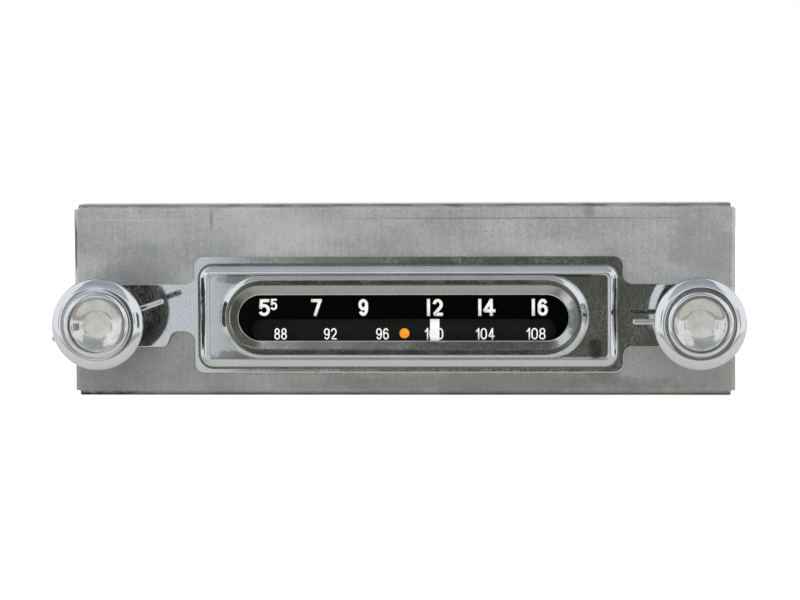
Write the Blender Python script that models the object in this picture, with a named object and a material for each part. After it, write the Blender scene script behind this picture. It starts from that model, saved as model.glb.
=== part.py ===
# Car radio: a folded steel case, a chrome bezel, and two knobs with a lever behind each.
# Metres, +Z up. The front faces -Y. The origin is the middle of the case's bottom face.
# A height is how far a point stands in front of the case's front face.

import math

import bmesh
import bpy
from mathutils import Vector

# Fits
CLEARANCE = 0.0003  # between pieces that touch, or that run in each other
OVERRUN = 0.001  # how far a cutter passes the wall that it cuts

# Case
CASE_WIDTH = 0.200
CASE_HEIGHT = 0.0579
CASE_DEPTH = 0.110
FACE_SHEET = 0.0012
FACE_FLANGE = 0.010  # depth of the face plate's folded flanges
FACE_BEND = 0.0015
CASE_SHEET = 0.0009
CASE_BEND = 0.0013
COVER_DROP = 0.0052  # case below the face plate's top
TONGUE = 0.006  # how far the case reaches under the face plate's flanges
JOGGLE = 0.0035  # length of the step behind the tongue
COVER_LIP = 0.009
REAR_FLANGE = 0.007
VENT_COUNT = 9
VENT_LENGTH = 0.026
VENT_WIDTH = 0.0050
VENT_PITCH = 0.014
VENT_BACK = 0.062  # behind the front
VENT_END_SHARE = 0.45  # radius of a vent's ends in its widths

# Shafts: one near each side
SHAFT_MARGIN = 0.01185  # from the case's side to the nearer shaft's middle
SHAFT_DROP = 0.0050  # from the middle of the case's height
BUSHING_RADIUS = 0.00475
BUSHING_HEIGHT = 0.0072
BUSHING_FLANGE_RADIUS = 0.0078
BUSHING_FLANGE = 0.0012
SLEEVE_RADIUS = 0.00315
SPINDLE_RADIUS = 0.00195
WASHER_RADIUS = 0.0072
WASHER_THICKNESS = 0.0008
NUT_ACROSS_FLATS = 0.0127
NUT_THICKNESS = 0.0024

# Bezel
BEZEL_SHEET = 0.0010
FLANGE_BEYOND = 0.01475  # beyond the window's ends
FLANGE_ABOVE = 0.0107  # beyond the window above and below
FLANGE_OFFSET = 0.0016  # the flange and its bead stand this far right of the shafts' middle
FLANGE_CORNER = 0.0029
EAR_HEIGHT = 0.0190
EAR_FILLET = 0.0029
BEAD_INSET = 0.00165  # from the flange's ends
BEAD_INSET_ABOVE = 0.00205
BEAD_CORNER = 0.0041
BEAD_BAND = 0.0028
BEAD_RISE = 0.0021
PANEL_RISE = 0.0006
LIP_BEYOND = 0.00575  # beyond the window's ends
LIP_ABOVE = 0.00605
LIP_BAND = 0.0018
LIP_RISE = 0.0017
WINDOW_MARGIN = 0.0500  # from the case's side to the window's end
WINDOW_HEIGHT = 0.0136
WINDOW_EDGE = 0.0005
WINDOW_DROP = 0.0004  # below the shafts' line
NOTCH_WIDTH = 0.0064  # round bite between the left ear and the flange
NOTCH_DEPTH = 0.0048
NOTCH_CORNER = 0.0029
NOTCH_SPREAD = 0.0017
SUNK_SHARE = 0.2  # of the sheet, how deep the stamped rings' foot sits in it
LEAST_CORNER_SHARE = 0.3  # of the bead's outer corner, for the inner ones
LIP_SHARES = [(0, 0), (0.06, 0.41), (0.28, 0.82), (0.56, 1), (0.83, 0.91), (1, 0.65)]
FUNNEL_SHARES = [(0.12, 0.64), (0.3, 0.36), (0.6, 0.16), (1, 0)]
BACK_SHARES = [1, 0.5, 0]

# Dial
LENS_MARGIN = 0.0018  # lens beyond the window
LENS_THICKNESS = 0.0015
MASK_THICKNESS = 0.0003
MASK_MARGIN = 0.0045  # mask and backplate beyond the window
SLOT_INSET = 0.00385  # from the window's ends
SLOT_HEIGHT = 0.0066
SLOT_DROP = 0.0037  # below the window's middle
SLOT_CORNER = 0.0030
BACKPLATE_DEPTH = 0.0028  # behind the mask
BACKPLATE_SHEET = 0.0008
POINTER_WIDTH = 0.0028
POINTER_SHEET = 0.0005
POINTER_REST = 0.0093
POINTER_TAIL = 0.0036  # below the slot, down to the foot
CARRIAGE_WIDTH = 0.012
CARRIAGE_HEIGHT = 0.007
CARRIAGE_THICKNESS = 0.005
ARM_WIDTH = 0.006
ARM_SHEET = 0.001
RAIL_RADIUS = 0.00125
RAIL_GAP = 0.0060  # beyond the pulley's middle
RAIL_BEND = 0.004
RAIL_HEIGHT = -0.0090
RAIL_DROP = 0.0099  # below the shafts' line
ARM_INSET_SHARE = 0.1  # of the carriage's thickness

# Cord drive
CORD_RADIUS = 0.00035
CORD_PITCH_RADIUS = 0.0040
CORD_HEIGHT = -0.0150
SPOOL_RADIUS = 0.0056
SPOOL_WIDTH = 0.0040
CHEEK_SHARE = 0.15  # of the spool's width
PULLEY_GAP = 0.0055  # from the mask's end to the pulley's middle
STUD_RADIUS = 0.0016
STUD_HEAD_RADIUS = 0.0028
STUD_HEAD = 0.0010

# Controls
CONTROL_RADIUS = 0.0085
CONTROL_LENGTH = 0.0070
VOLUME_LENGTH = 0.0090
SOCKET_DEPTH = 0.004  # how far a shaft enters its control
LUG_WIDTH = 0.0018
LUG_LENGTH = 0.004
LUG_SHEET = 0.0008
LUG_COUNT = 3
LUG_PITCH = 0.005
LUG_ROOT_SHARE = 0.6  # of the control's radius

# Levers
ROD_RADIUS = 0.00083
ROD_HEIGHT = 0.0150  # above the ears
ROD_LONG = 0.0195
TONE_ROD_SHORT = 0.0160
TONE_ROD_ANGLE = math.radians(19)  # from +X towards +Z
FADER_ROD_ANGLE = math.radians(180)
COLLAR_RADIUS = 0.0075
COLLAR_LENGTH = 0.0052
COLLAR_LAND = 0.0018  # collar in front of the rod's middle

# Knobs: heights above the ears
KNOB_RADIUS = 0.0135
KNOB_RIM_HEIGHT = 0.0214
KNOB_BACK_RADIUS = 0.0104
KNOB_SIDE_SHARES = [(0, 0), (0.39, 0.17), (0.81, 0.6), (1, 1)]
KNOB_BAND = 0.0030
KNOB_BAND_RISE = 0.0018
KNOB_GROOVE = 0.0006
CAP_RADIUS = 0.0096
CAP_RISE = 0.0010
CAP_ROUND = 0.0009
INSERT_RADIUS = 0.0079
INSERT_EDGE = 0.0005
INSERT_DISH_RADIUS = 0.018
INSERT_THICKNESS = 0.0005
INSERT_SUNK = 0.0007  # below the cap's top
SCREW_RADIUS = 0.00125
SCREW_LENGTH = 0.0050
SCREW_SOCKET_RADIUS = 0.0007
SCREW_SOCKET_DEPTH = 0.0015

# Tuner
TUNER_FRONT = -0.0210
TUNER_LENGTH = 0.0440
TUNER_EDGE = 0.0053  # left of the first coil
TUNER_HEIGHT = 0.0340
TUNER_SHEET = 0.0012
TUNER_SIDE_GAP = 0.0015
COIL_COUNT = 3
COIL_SPACE = 0.0011  # from the last coil to the spindle
COIL_GAP = 0.0006
COIL_RADIUS = 0.0045
COIL_LENGTH = 0.0195
CORE_RADIUS = 0.0020
CORE_LENGTH = 0.0215
CROSSBAR_THICKNESS = 0.0030
CROSSBAR_HEIGHT = 0.0090
CROSSBAR_REST = 0.0115  # behind the tuner's front
CROSSBAR_END = 0.0040  # beyond the spindle's middle

# Board and what stands on it
BOARD_FLOOR = 0.0110
BOARD_THICKNESS = 0.0016
BOARD_SIDE_GAP = 0.0080
BOARD_TUNER_GAP = 0.0156
BOARD_REAR_GAP = 0.0110
BOARD_FRONT = -0.033
POST_RADIUS = 0.0025
POST_INSET = 0.006
CAN_SIDE = 0.0100
CAN_HEIGHT = 0.0160
CAN_CORNER = 0.0012
CAPACITOR_RADIUS = 0.0065
CAPACITOR_HEIGHT = 0.0250
CAPACITOR_ROUND = 0.0008
TRANSFORMER_SIDE = 0.0220
TRANSFORMER_STACK = 0.0120
TRANSFORMER_COIL = 0.0045
CAN_SHARES = (0.5, 0.3)  # places as shares of the board's width and length
CAPACITOR_SHARES = (0.25, 0.65)
TRANSFORMER_SHARES = (0.82, 0.6)
LAMP_RISE = 0.0190  # above the shafts' line
LAMP_PLACE = -0.022
LAMP_RADIUS = 0.0034
LAMP_LENGTH = 0.0160
HOLDER_RADIUS = 0.0052
HOLDER_LENGTH = 0.0080
HOLDER_FLANGE_RADIUS = 0.0075
HOLDER_FLANGE = 0.0010

# Rear
SINK_EDGE = 0.0140  # from the case's side
SINK_STUD_GAP = 0.0140  # from the support stud's middle
SINK_MARGIN = 0.0080  # from the face plate's top and the case's bottom
SINK_BASE = 0.003
FIN_LENGTH = 0.012
FIN_THICKNESS = 0.0016
FIN_PITCH = 0.0052
TRANSISTOR_RADIUS = 0.0095
TRANSISTOR_HEIGHT = 0.0070
TRANSISTOR_FLANGE = 0.0016
TRANSISTOR_LENGTH = 0.036
TRANSISTOR_WIDTH = 0.028
TRANSISTOR_END = 0.0045
AERIAL_EDGE = 0.0220  # from the case's side
AERIAL_RADIUS = 0.0062
AERIAL_BORE = 0.0043
AERIAL_LENGTH = 0.0170
AERIAL_REACH = 0.0070  # behind the rear panel
AERIAL_FLANGE_RADIUS = 0.0090
AERIAL_FLANGE = 0.0010
POWER_REACH_ACROSS = 0.0300  # right of the support stud
POWER_WIDTH = 0.0260
POWER_HEIGHT = 0.0110
POWER_WALL = 0.0015
POWER_LENGTH = 0.0150
POWER_REACH = 0.0050
POWER_CORNER = 0.0010
BLADE_COUNT = 4
BLADE_PITCH = 0.0052
BLADE_SIDE = 0.0012
BLADE_LENGTH = 0.0045
REAR_STUD_RADIUS = 0.0030
REAR_STUD_LENGTH = 0.0130
REAR_NUT_ACROSS = 0.0100
REAR_NUT_THICKNESS = 0.0040
STUD_HEAD_SHARE = 1.6  # head of the rear stud in its own radii
COVER_SCREW_INSET = 0.0040  # in front of the rear panel's flange
COVER_SCREW_RADIUS = 0.0014
COVER_HEAD_RADIUS = 0.0029
COVER_HEAD = 0.0014
COVER_HEAD_SHARE = 0.7
COVER_SCREW_LENGTH = 0.0060

# Facets
ROUND_STEPS = 40
SMALL_STEPS = 20
CORNER_STEPS = 8
BEND_STEPS = 3
BEAD_STEPS = 6
BAND_STEPS = 4
POST_STEPS = 12
WIRE_RESOLUTION = 1
FACET_SHARE = 1e-4  # keeps two round corners of a half circle from meeting in one point

FRONT_Y = -CASE_DEPTH / 2
REAR_Y = CASE_DEPTH / 2
SHAFT_Z = CASE_HEIGHT / 2 - SHAFT_DROP
SHAFT_X = CASE_WIDTH / 2 - SHAFT_MARGIN
WINDOW_WIDTH = CASE_WIDTH - 2 * WINDOW_MARGIN
FLANGE_WIDTH = WINDOW_WIDTH + 2 * FLANGE_BEYOND
FLANGE_HEIGHT = WINDOW_HEIGHT + 2 * FLANGE_ABOVE
BEAD_WIDTH = FLANGE_WIDTH - 2 * BEAD_INSET
BEAD_HEIGHT = FLANGE_HEIGHT - 2 * BEAD_INSET_ABOVE
LIP_WIDTH = WINDOW_WIDTH + 2 * LIP_BEYOND
LIP_HEIGHT = WINDOW_HEIGHT + 2 * LIP_ABOVE
SLOT_WIDTH = WINDOW_WIDTH - 2 * SLOT_INSET
PULLEY_REACH = WINDOW_WIDTH / 2 + MASK_MARGIN + PULLEY_GAP
RAIL_LENGTH = 2 * (PULLEY_REACH + RAIL_GAP)
SIDES = [(-1, "left"), (1, "right")]
VENT_Y = FRONT_Y + VENT_BACK
FACE_BACK = -FACE_SHEET
EAR_FRONT = CLEARANCE + BEZEL_SHEET
FACE_STEP = FACE_SHEET + CLEARANCE
BEZEL_Z = SHAFT_Z
WINDOW_Z = SHAFT_Z - WINDOW_DROP
SLOT_Z = WINDOW_Z - SLOT_DROP
MASK_FRONT = -LENS_THICKNESS - CLEARANCE
MASK_BACK = MASK_FRONT - MASK_THICKNESS
RAIL_Z = SHAFT_Z - RAIL_DROP
COIL_PLACES = [
    SHAFT_X - SPINDLE_RADIUS - COIL_SPACE - COIL_RADIUS - index * (2 * COIL_RADIUS + COIL_GAP)
    for index in range(COIL_COUNT - 1, -1, -1)
]
TUNER_LEFT = COIL_PLACES[0] - COIL_RADIUS - TUNER_EDGE
BOARD_LEFT = BOARD_SIDE_GAP - CASE_WIDTH / 2
BOARD_WIDTH = TUNER_LEFT - BOARD_TUNER_GAP - BOARD_LEFT
BOARD_LENGTH = CASE_DEPTH + BOARD_FRONT - BOARD_REAR_GAP
CARRIAGE_FRONT = RAIL_HEIGHT + CARRIAGE_THICKNESS / 2
STUD_PLACE = 0
AERIAL_PLACE = CASE_WIDTH / 2 - AERIAL_EDGE
POWER_PLACE = STUD_PLACE + POWER_REACH_ACROSS
SINK_LEFT = SINK_EDGE - CASE_WIDTH / 2
SINK_WIDTH = STUD_PLACE - SINK_STUD_GAP - SINK_LEFT
SINK_HEIGHT = CASE_HEIGHT - 2 * SINK_MARGIN
SINK_PLACE = SINK_LEFT + SINK_WIDTH / 2
SINK_Z = CASE_HEIGHT / 2
SINK_FINS = math.floor((SINK_WIDTH - TRANSISTOR_WIDTH) / 2 / FIN_PITCH)  # on each side of the transistor
CONTROL_TOP = FACE_BACK - 2 * CLEARANCE - BUSHING_FLANGE

# Colour, roughness, metallic
FINISHES = {
    "chrome": ((0.80, 0.81, 0.82, 1), 0.06, 1.0),
    "spun_aluminium": ((0.86, 0.86, 0.85, 1), 0.18, 1.0),
    "raw_steel": ((0.42, 0.42, 0.41, 1), 0.45, 0.9),
    "zinc_plate": ((0.55, 0.56, 0.56, 1), 0.35, 0.9),
    "brass": ((0.66, 0.50, 0.22, 1), 0.3, 1.0),
    "aluminium": ((0.70, 0.71, 0.72, 1), 0.3, 1.0),
    "black_acrylic": ((0.004, 0.004, 0.004, 1), 0.05, 0.0),
    "black_paint": ((0.01, 0.01, 0.01, 1), 0.5, 0.0),
    "white_paint": ((0.9, 0.9, 0.88, 1), 0.4, 0.0),
    "black_plastic": ((0.02, 0.02, 0.02, 1), 0.5, 0.0),
    "white_plastic": ((0.75, 0.73, 0.68, 1), 0.45, 0.0),
    "cord": ((0.12, 0.11, 0.09, 1), 0.8, 0.0),
    "glass": ((0.9, 0.9, 0.85, 1), 0.05, 0.0),
    "laminate": ((0.36, 0.20, 0.07, 1), 0.5, 0.0),
    "ferrite": ((0.05, 0.05, 0.05, 1), 0.6, 0.0),
    "blue_sleeve": ((0.03, 0.06, 0.2, 1), 0.4, 0.0),
}


def clear_scene():
    for thing in list(bpy.data.objects):
        bpy.data.objects.remove(thing, do_unlink=True)


def at_height(height):
    return FRONT_Y - height


def finish_material(name, finish):
    colour, roughness, metallic = FINISHES[finish]
    made = bpy.data.materials.new(name + "_" + finish)
    made.use_nodes = True
    shader = made.node_tree.nodes["Principled BSDF"]
    shader.inputs["Base Color"].default_value = colour
    shader.inputs["Roughness"].default_value = roughness
    shader.inputs["Metallic"].default_value = metallic
    made.diffuse_color = colour
    return made


def add_object(name, bm, finish=None, place=(0, 0, 0), parent=None, turn=0):
    """Makes an object of the bmesh, turned about Y. Without a finish it is a hidden helper."""
    bmesh.ops.recalc_face_normals(bm, faces=bm.faces)
    mesh = bpy.data.meshes.new(name)
    bm.to_mesh(mesh)
    bm.free()
    thing = bpy.data.objects.new(name, mesh)
    bpy.context.scene.collection.objects.link(thing)
    thing.location = place
    thing.rotation_euler.y = turn
    if parent is not None:
        thing.parent = parent
        thing.location = Vector(place) - parent.location
    if finish is None:
        thing.hide_render = True
        thing.display_type = "WIRE"
        return thing
    mesh.materials.append(finish_material(name, finish))
    mesh.shade_smooth()
    mesh.set_sharp_from_angle(angle=math.radians(30))
    return thing


def add_axis(name, x, z):
    """An empty on a turning joint's axis, in the plane of the case's front face."""
    axis = bpy.data.objects.new(name, None)
    bpy.context.scene.collection.objects.link(axis)
    axis.location = (x, FRONT_Y, z)
    return axis


def combine(thing, helper, operation):
    modifier = thing.modifiers.new(operation.lower() + "_" + helper.name, "BOOLEAN")
    modifier.operation = operation
    modifier.solver = "EXACT"
    modifier.object = helper


def cut(thing, helper):
    combine(thing, helper, "DIFFERENCE")


def join(thing, helper):
    combine(thing, helper, "UNION")


def rounded_outline(corners, steps=CORNER_STEPS):
    """Points of a closed outline whose corners, each (x, z, radius), are filleted."""
    points = []
    for index, (x, z, radius) in enumerate(corners):
        corner = Vector((x, z))
        before = (Vector(corners[index - 1][:2]) - corner).normalized()
        after = (Vector(corners[(index + 1) % len(corners)][:2]) - corner).normalized()
        half = before.angle(after) / 2
        centre = corner + (before + after).normalized() * (radius / math.sin(half))
        start = corner + before * (radius / math.tan(half)) - centre
        end = corner + after * (radius / math.tan(half)) - centre
        first = math.atan2(start.y, start.x)
        sweep = (math.atan2(end.y, end.x) - first + math.pi) % math.tau - math.pi
        for step in range(steps + 1):
            turn = first + sweep * step / steps
            points.append((centre.x + radius * math.cos(turn), centre.y + radius * math.sin(turn)))
    return points


def rounded_rectangle(width, height, radius, x=0, z=0, steps=CORNER_STEPS):
    corners = [(-1, 1), (1, 1), (1, -1), (-1, -1)]
    return rounded_outline(
        [(x + side * width / 2, z + rise * height / 2, radius) for side, rise in corners],
        steps,
    )


def stadium(width, height, x=0, z=0, steps=CORNER_STEPS):
    return rounded_rectangle(width, height, height / 2 * (1 - FACET_SHARE), x, z, steps)


def prism_mesh(outline, low, high, axis="Y"):
    """An outline pushed from low to high: (x, z) for axis Y, (y, z) for X and (x, y) for Z."""
    place = {
        "X": lambda a, b, c: (c, a, b),
        "Y": lambda a, b, c: (a, c, b),
        "Z": lambda a, b, c: (a, b, c),
    }[axis]
    bm = bmesh.new()
    face = bm.faces.new([bm.verts.new(place(a, b, low)) for a, b in outline])
    made = bmesh.ops.extrude_face_region(bm, geom=[face])["geom"]
    moved = [item for item in made if isinstance(item, bmesh.types.BMVert)]
    bmesh.ops.translate(bm, verts=moved, vec=place(0, 0, high - low))
    return bm


def prism(name, outline, low, high, finish=None, axis="Y", place=(0, 0, 0), parent=None):
    return add_object(name, prism_mesh(outline, low, high, axis), finish, place, parent)


def block(name, low, high, finish=None, parent=None):
    """A box between two corners. Its object stands at its own middle."""
    middle = (Vector(low) + Vector(high)) / 2
    bm = bmesh.new()
    bmesh.ops.create_cube(bm, size=1)
    bmesh.ops.scale(bm, verts=bm.verts, vec=Vector(high) - Vector(low))
    return add_object(name, bm, finish, middle, parent)


def turned_mesh(profile, steps, axis="Y"):
    """Spins (radius, height) points round an axis. For Y the height runs to the front, for Z it runs up."""
    bm = bmesh.new()
    on_axis = profile[0][0] == 0 and profile[-1][0] == 0
    if axis == "Y":
        points = [bm.verts.new((radius, -height, 0)) for radius, height in profile]
    else:
        points = [bm.verts.new((radius, 0, height)) for radius, height in profile]
    ends = points[1:] if on_axis else points[1:] + points[:1]
    edges = [bm.edges.new(pair) for pair in zip(points, ends)]
    bmesh.ops.spin(
        bm,
        geom=points + edges,
        axis=(0, 1, 0) if axis == "Y" else (0, 0, 1),
        cent=(0, 0, 0),
        angle=math.tau,
        steps=steps,
        use_merge=True,
    )
    apart = max(radius for radius, _ in profile) * FACET_SHARE
    bmesh.ops.remove_doubles(bm, verts=bm.verts, dist=apart)
    return bm


def turned(name, profile, place, finish=None, parent=None, steps=SMALL_STEPS, axis="Y", turn=0):
    return add_object(name, turned_mesh(profile, steps, axis), finish, place, parent, turn)


def tube_profile(inner, outer, low, high):
    return [(inner, low), (outer, low), (outer, high), (inner, high)]


def rod_profile(radius, low, high):
    return [(0, low), (radius, low), (radius, high), (0, high)]


def skin(bm, loops, closed):
    """Joins each loop of vertices to the next, and the last to the first where closed."""
    pairs = zip(loops, loops[1:] + loops[:1]) if closed else zip(loops, loops[1:])
    for first, second in pairs:
        for index in range(len(first)):
            bm.faces.new((first[index - 1], first[index], second[index], second[index - 1]))
    if not closed:
        bm.faces.new(loops[0])
        bm.faces.new(loops[-1])


def folded_pan(name, width, height, middle_z, face_y, inwards, flange, sheet, bend, finish):
    """A sheet face with a flange folded back along each edge. The corners are left open."""
    bm = bmesh.new()
    half_width, half_height = width / 2 - bend, height / 2 - bend
    corners = [(-1, -1), (1, -1), (1, 1), (-1, 1)]
    points = [bm.verts.new((a * half_width, face_y, middle_z + b * half_height)) for a, b in corners]
    face = bm.faces.new(points)
    middle = Vector((0, face_y, middle_z))
    for edge in list(face.edges):
        centre = (edge.verts[0].co + edge.verts[1].co) / 2
        outwards = (centre - middle).normalized()
        front = [edge]
        path = []
        for step in range(1, BEND_STEPS + 1):
            turn = math.pi / 2 * step / BEND_STEPS
            path.append((bend * math.sin(turn), bend * (1 - math.cos(turn))))
        path.append((bend, flange))
        before = (0, 0)
        for out, back in path:
            made = bmesh.ops.extrude_edge_only(bm, edges=front)["geom"]
            verts = [item for item in made if isinstance(item, bmesh.types.BMVert)]
            front = [
                item
                for item in made
                if isinstance(item, bmesh.types.BMEdge) and all(v in verts for v in item.verts)
            ]
            shift = outwards * (out - before[0]) + Vector((0, inwards * (back - before[1]), 0))
            bmesh.ops.translate(bm, verts=verts, vec=shift)
            before = (out, back)
    bmesh.ops.recalc_face_normals(bm, faces=bm.faces)
    if face.normal.y * inwards > 0:
        bmesh.ops.reverse_faces(bm, faces=bm.faces)
    mesh = bpy.data.meshes.new(name)
    bm.to_mesh(mesh)
    bm.free()
    thing = bpy.data.objects.new(name, mesh)
    bpy.context.scene.collection.objects.link(thing)
    mesh.materials.append(finish_material(name, finish))
    mesh.shade_smooth()
    mesh.set_sharp_from_angle(angle=math.radians(50))
    thickness = thing.modifiers.new("sheet", "SOLIDIFY")
    thickness.thickness = sheet
    thickness.offset = -1
    thickness.use_even_offset = True
    return thing


def channel_section(half_width, base, edge, sheet, bend, y, upside_down=False):
    """A sheet channel's section in the plane y: a base, and two walls that end at height edge."""
    side = -1 if upside_down else 1

    def wall(inset):
        reach, floor, radius = half_width - inset, base + side * inset, bend - inset
        path = [(-reach, edge)]
        for sign in (-1, 1):
            for step in range(BEND_STEPS + 1):
                turn = math.pi / 2 * step / BEND_STEPS
                if sign > 0:
                    turn = math.pi / 2 - turn
                path.append(
                    (
                        sign * (reach - radius + radius * math.cos(turn)),
                        floor + side * (radius - radius * math.sin(turn)),
                    )
                )
        path.append((reach, edge))
        return path

    return [(x, y, z) for x, z in wall(0) + wall(sheet)[::-1]]


def channel(name, sections, finish):
    bm = bmesh.new()
    skin(bm, [[bm.verts.new(point) for point in section] for section in sections], closed=False)
    return add_object(name, bm, finish)


# Case


def shaft_place(side):
    return (side * SHAFT_X, FRONT_Y, SHAFT_Z)


def make_face_plate():
    face = folded_pan(
        "face_plate", CASE_WIDTH, CASE_HEIGHT, CASE_HEIGHT / 2, FRONT_Y, 1, FACE_FLANGE,
        FACE_SHEET, FACE_BEND, "raw_steel",
    )
    margin = LENS_MARGIN + CLEARANCE
    opening = stadium(WINDOW_WIDTH + 2 * margin, WINDOW_HEIGHT + 2 * margin, 0, WINDOW_Z)
    cut(face, prism("dial_cutter", opening, at_height(OVERRUN), at_height(FACE_BACK - OVERRUN)))
    hole = rod_profile(BUSHING_RADIUS + CLEARANCE, FACE_BACK - OVERRUN, OVERRUN)
    for side, name in SIDES:
        cut(face, turned("face_cutter_" + name, hole, shaft_place(side)))


def case_rows(tongue, rest):
    """Places from front to rear with their insets: tongue under the face plate, step and rest."""
    start = FRONT_Y + FACE_FLANGE + CLEARANCE
    return [
        (start - TONGUE, tongue),
        (start - CLEARANCE, tongue),
        (start + JOGGLE, rest),
        (REAR_Y, rest),
    ]


def make_case_shell():
    sections = [
        channel_section(CASE_WIDTH / 2 - side, side, CASE_HEIGHT - top, CASE_SHEET, CASE_BEND, y)
        for y, (side, top) in case_rows((FACE_STEP, FACE_STEP), (0, COVER_DROP))
    ]
    shell = channel("case_shell", sections, "zinc_plate")
    post = rod_profile(POST_RADIUS, CASE_SHEET / 2, BOARD_FLOOR - CLEARANCE)
    front, back = at_height(BOARD_FRONT), at_height(BOARD_FRONT - BOARD_LENGTH)
    for x in (BOARD_LEFT + POST_INSET, BOARD_LEFT + BOARD_WIDTH - POST_INSET):
        for y in (front + POST_INSET, back - POST_INSET):
            name = "board_post_%d" % len(shell.modifiers)
            join(shell, turned(name, post, (x, y, 0), axis="Z", steps=POST_STEPS))
    for side, name in SIDES:
        cut(shell, cover_screw_cutter("shell_screw_cutter_" + name, side))


def make_top_cover():
    inside = CASE_SHEET + CLEARANCE
    sections = [
        channel_section(
            CASE_WIDTH / 2 - inside - side, CASE_HEIGHT - top, CASE_HEIGHT - top - COVER_LIP,
            CASE_SHEET, CASE_BEND, y, upside_down=True,
        )
        for y, (side, top) in case_rows((FACE_STEP, FACE_STEP), (0, COVER_DROP))
    ]
    cover = channel("top_cover", sections, "zinc_plate")
    top = CASE_HEIGHT - COVER_DROP
    for index in range(VENT_COUNT):
        x = (index - (VENT_COUNT - 1) / 2) * VENT_PITCH
        end = VENT_WIDTH * VENT_END_SHARE
        slot = rounded_rectangle(VENT_WIDTH, VENT_LENGTH, end, x, VENT_Y, BEND_STEPS)
        name = "vent_cutter_%d" % index
        cut(cover, prism(name, slot, top - CASE_SHEET - OVERRUN, top + OVERRUN, axis="Z"))
    for side, name in SIDES:
        outer = side * (CASE_WIDTH / 2 - CLEARANCE)
        inner = outer - side * (2 * CASE_SHEET + OVERRUN)
        low = (min(outer, inner), REAR_Y - REAR_FLANGE - CLEARANCE, top - COVER_LIP - OVERRUN)
        high = (max(outer, inner), REAR_Y + OVERRUN, top - CASE_BEND)
        cut(cover, block("lip_cutter_" + name, low, high))
        cut(cover, cover_screw_cutter("cover_screw_cutter_" + name, side))


def cover_screw_place(side):
    y = REAR_Y - REAR_FLANGE - COVER_SCREW_INSET
    return (side * CASE_WIDTH / 2, y, CASE_HEIGHT - COVER_DROP - COVER_LIP / 2)


def cover_screw_cutter(name, side):
    hole = rod_profile(COVER_SCREW_RADIUS + CLEARANCE, -COVER_SCREW_LENGTH, OVERRUN)
    return turned(name, hole, cover_screw_place(side), axis="Z", turn=side * math.pi / 2)


def make_cover_screws():
    profile = [
        (0, -COVER_SCREW_LENGTH),
        (COVER_SCREW_RADIUS, -COVER_SCREW_LENGTH),
        (COVER_SCREW_RADIUS, CLEARANCE),
        (COVER_HEAD_RADIUS, CLEARANCE),
        (COVER_HEAD_RADIUS, COVER_HEAD * COVER_HEAD_SHARE),
        (COVER_HEAD_RADIUS * COVER_HEAD_SHARE, COVER_HEAD),
        (0, COVER_HEAD),
    ]
    for side, name in SIDES:
        turn = side * math.pi / 2
        turned("cover_screw_" + name, profile, cover_screw_place(side), "zinc_plate", axis="Z", turn=turn)


def make_rear_panel():
    inside = CASE_SHEET + CLEARANCE
    height = CASE_HEIGHT - COVER_DROP - 2 * inside
    panel = folded_pan(
        "rear_panel", CASE_WIDTH - 2 * inside, height, inside + height / 2, REAR_Y, -1,
        REAR_FLANGE, CASE_SHEET, CASE_BEND, "zinc_plate",
    )
    low, high = REAR_Y - CASE_SHEET - OVERRUN, REAR_Y + OVERRUN
    holes = [("aerial", AERIAL_RADIUS, AERIAL_PLACE), ("stud", REAR_STUD_RADIUS, STUD_PLACE)]
    for name, radius, x in holes:
        hole = rod_profile(radius + CLEARANCE, -high, -low)
        cut(panel, turned(name + "_cutter", hole, (x, 0, SHAFT_Z)))
    width, depth = POWER_WIDTH + 2 * CLEARANCE, POWER_HEIGHT + 2 * CLEARANCE
    hole = rounded_rectangle(width, depth, POWER_CORNER, POWER_PLACE, SHAFT_Z, BEND_STEPS)
    cut(panel, prism("power_cutter", hole, low, high))


def make_heat_sink():
    low_y = REAR_Y + CLEARANCE
    half = SINK_WIDTH / 2
    outline = [(-half, low_y), (half, low_y)]
    fins = [half - FIN_PITCH * index for index in range(SINK_FINS)]
    root, tip = low_y + SINK_BASE, low_y + SINK_BASE + FIN_LENGTH
    for outer in fins:
        outline += [(outer, tip), (outer - FIN_THICKNESS, tip), (outer - FIN_THICKNESS, root)]
        outline.append((outer - FIN_PITCH, root))
    outline.pop()
    mirrored = [(-x, y) for x, y in outline[:1:-1]]
    points = [(x + SINK_PLACE, y) for x, y in outline + mirrored]
    prism("heat_sink", points, SINK_Z - SINK_HEIGHT / 2, SINK_Z + SINK_HEIGHT / 2, "aluminium", axis="Z")

    seat = REAR_Y + CLEARANCE + SINK_BASE + CLEARANCE
    reach = TRANSISTOR_LENGTH / 2
    corners = [
        (SINK_PLACE, SINK_Z + reach, TRANSISTOR_END),
        (SINK_PLACE + TRANSISTOR_WIDTH / 2, SINK_Z, TRANSISTOR_RADIUS),
        (SINK_PLACE, SINK_Z - reach, TRANSISTOR_END),
        (SINK_PLACE - TRANSISTOR_WIDTH / 2, SINK_Z, TRANSISTOR_RADIUS),
    ]
    outline = rounded_outline(corners, BEND_STEPS)
    device = prism("power_transistor", outline, seat, seat + TRANSISTOR_FLANGE, "zinc_plate")
    top = seat + TRANSISTOR_HEIGHT
    can = [
        (0, -seat - TRANSISTOR_FLANGE / 2),
        (TRANSISTOR_RADIUS, -seat - TRANSISTOR_FLANGE / 2),
        (TRANSISTOR_RADIUS, TRANSISTOR_FLANGE - top),
        (TRANSISTOR_RADIUS - TRANSISTOR_FLANGE, -top),
        (0, -top),
    ]
    join(device, turned("transistor_can", can, (SINK_PLACE, 0, SINK_Z)))


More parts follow.
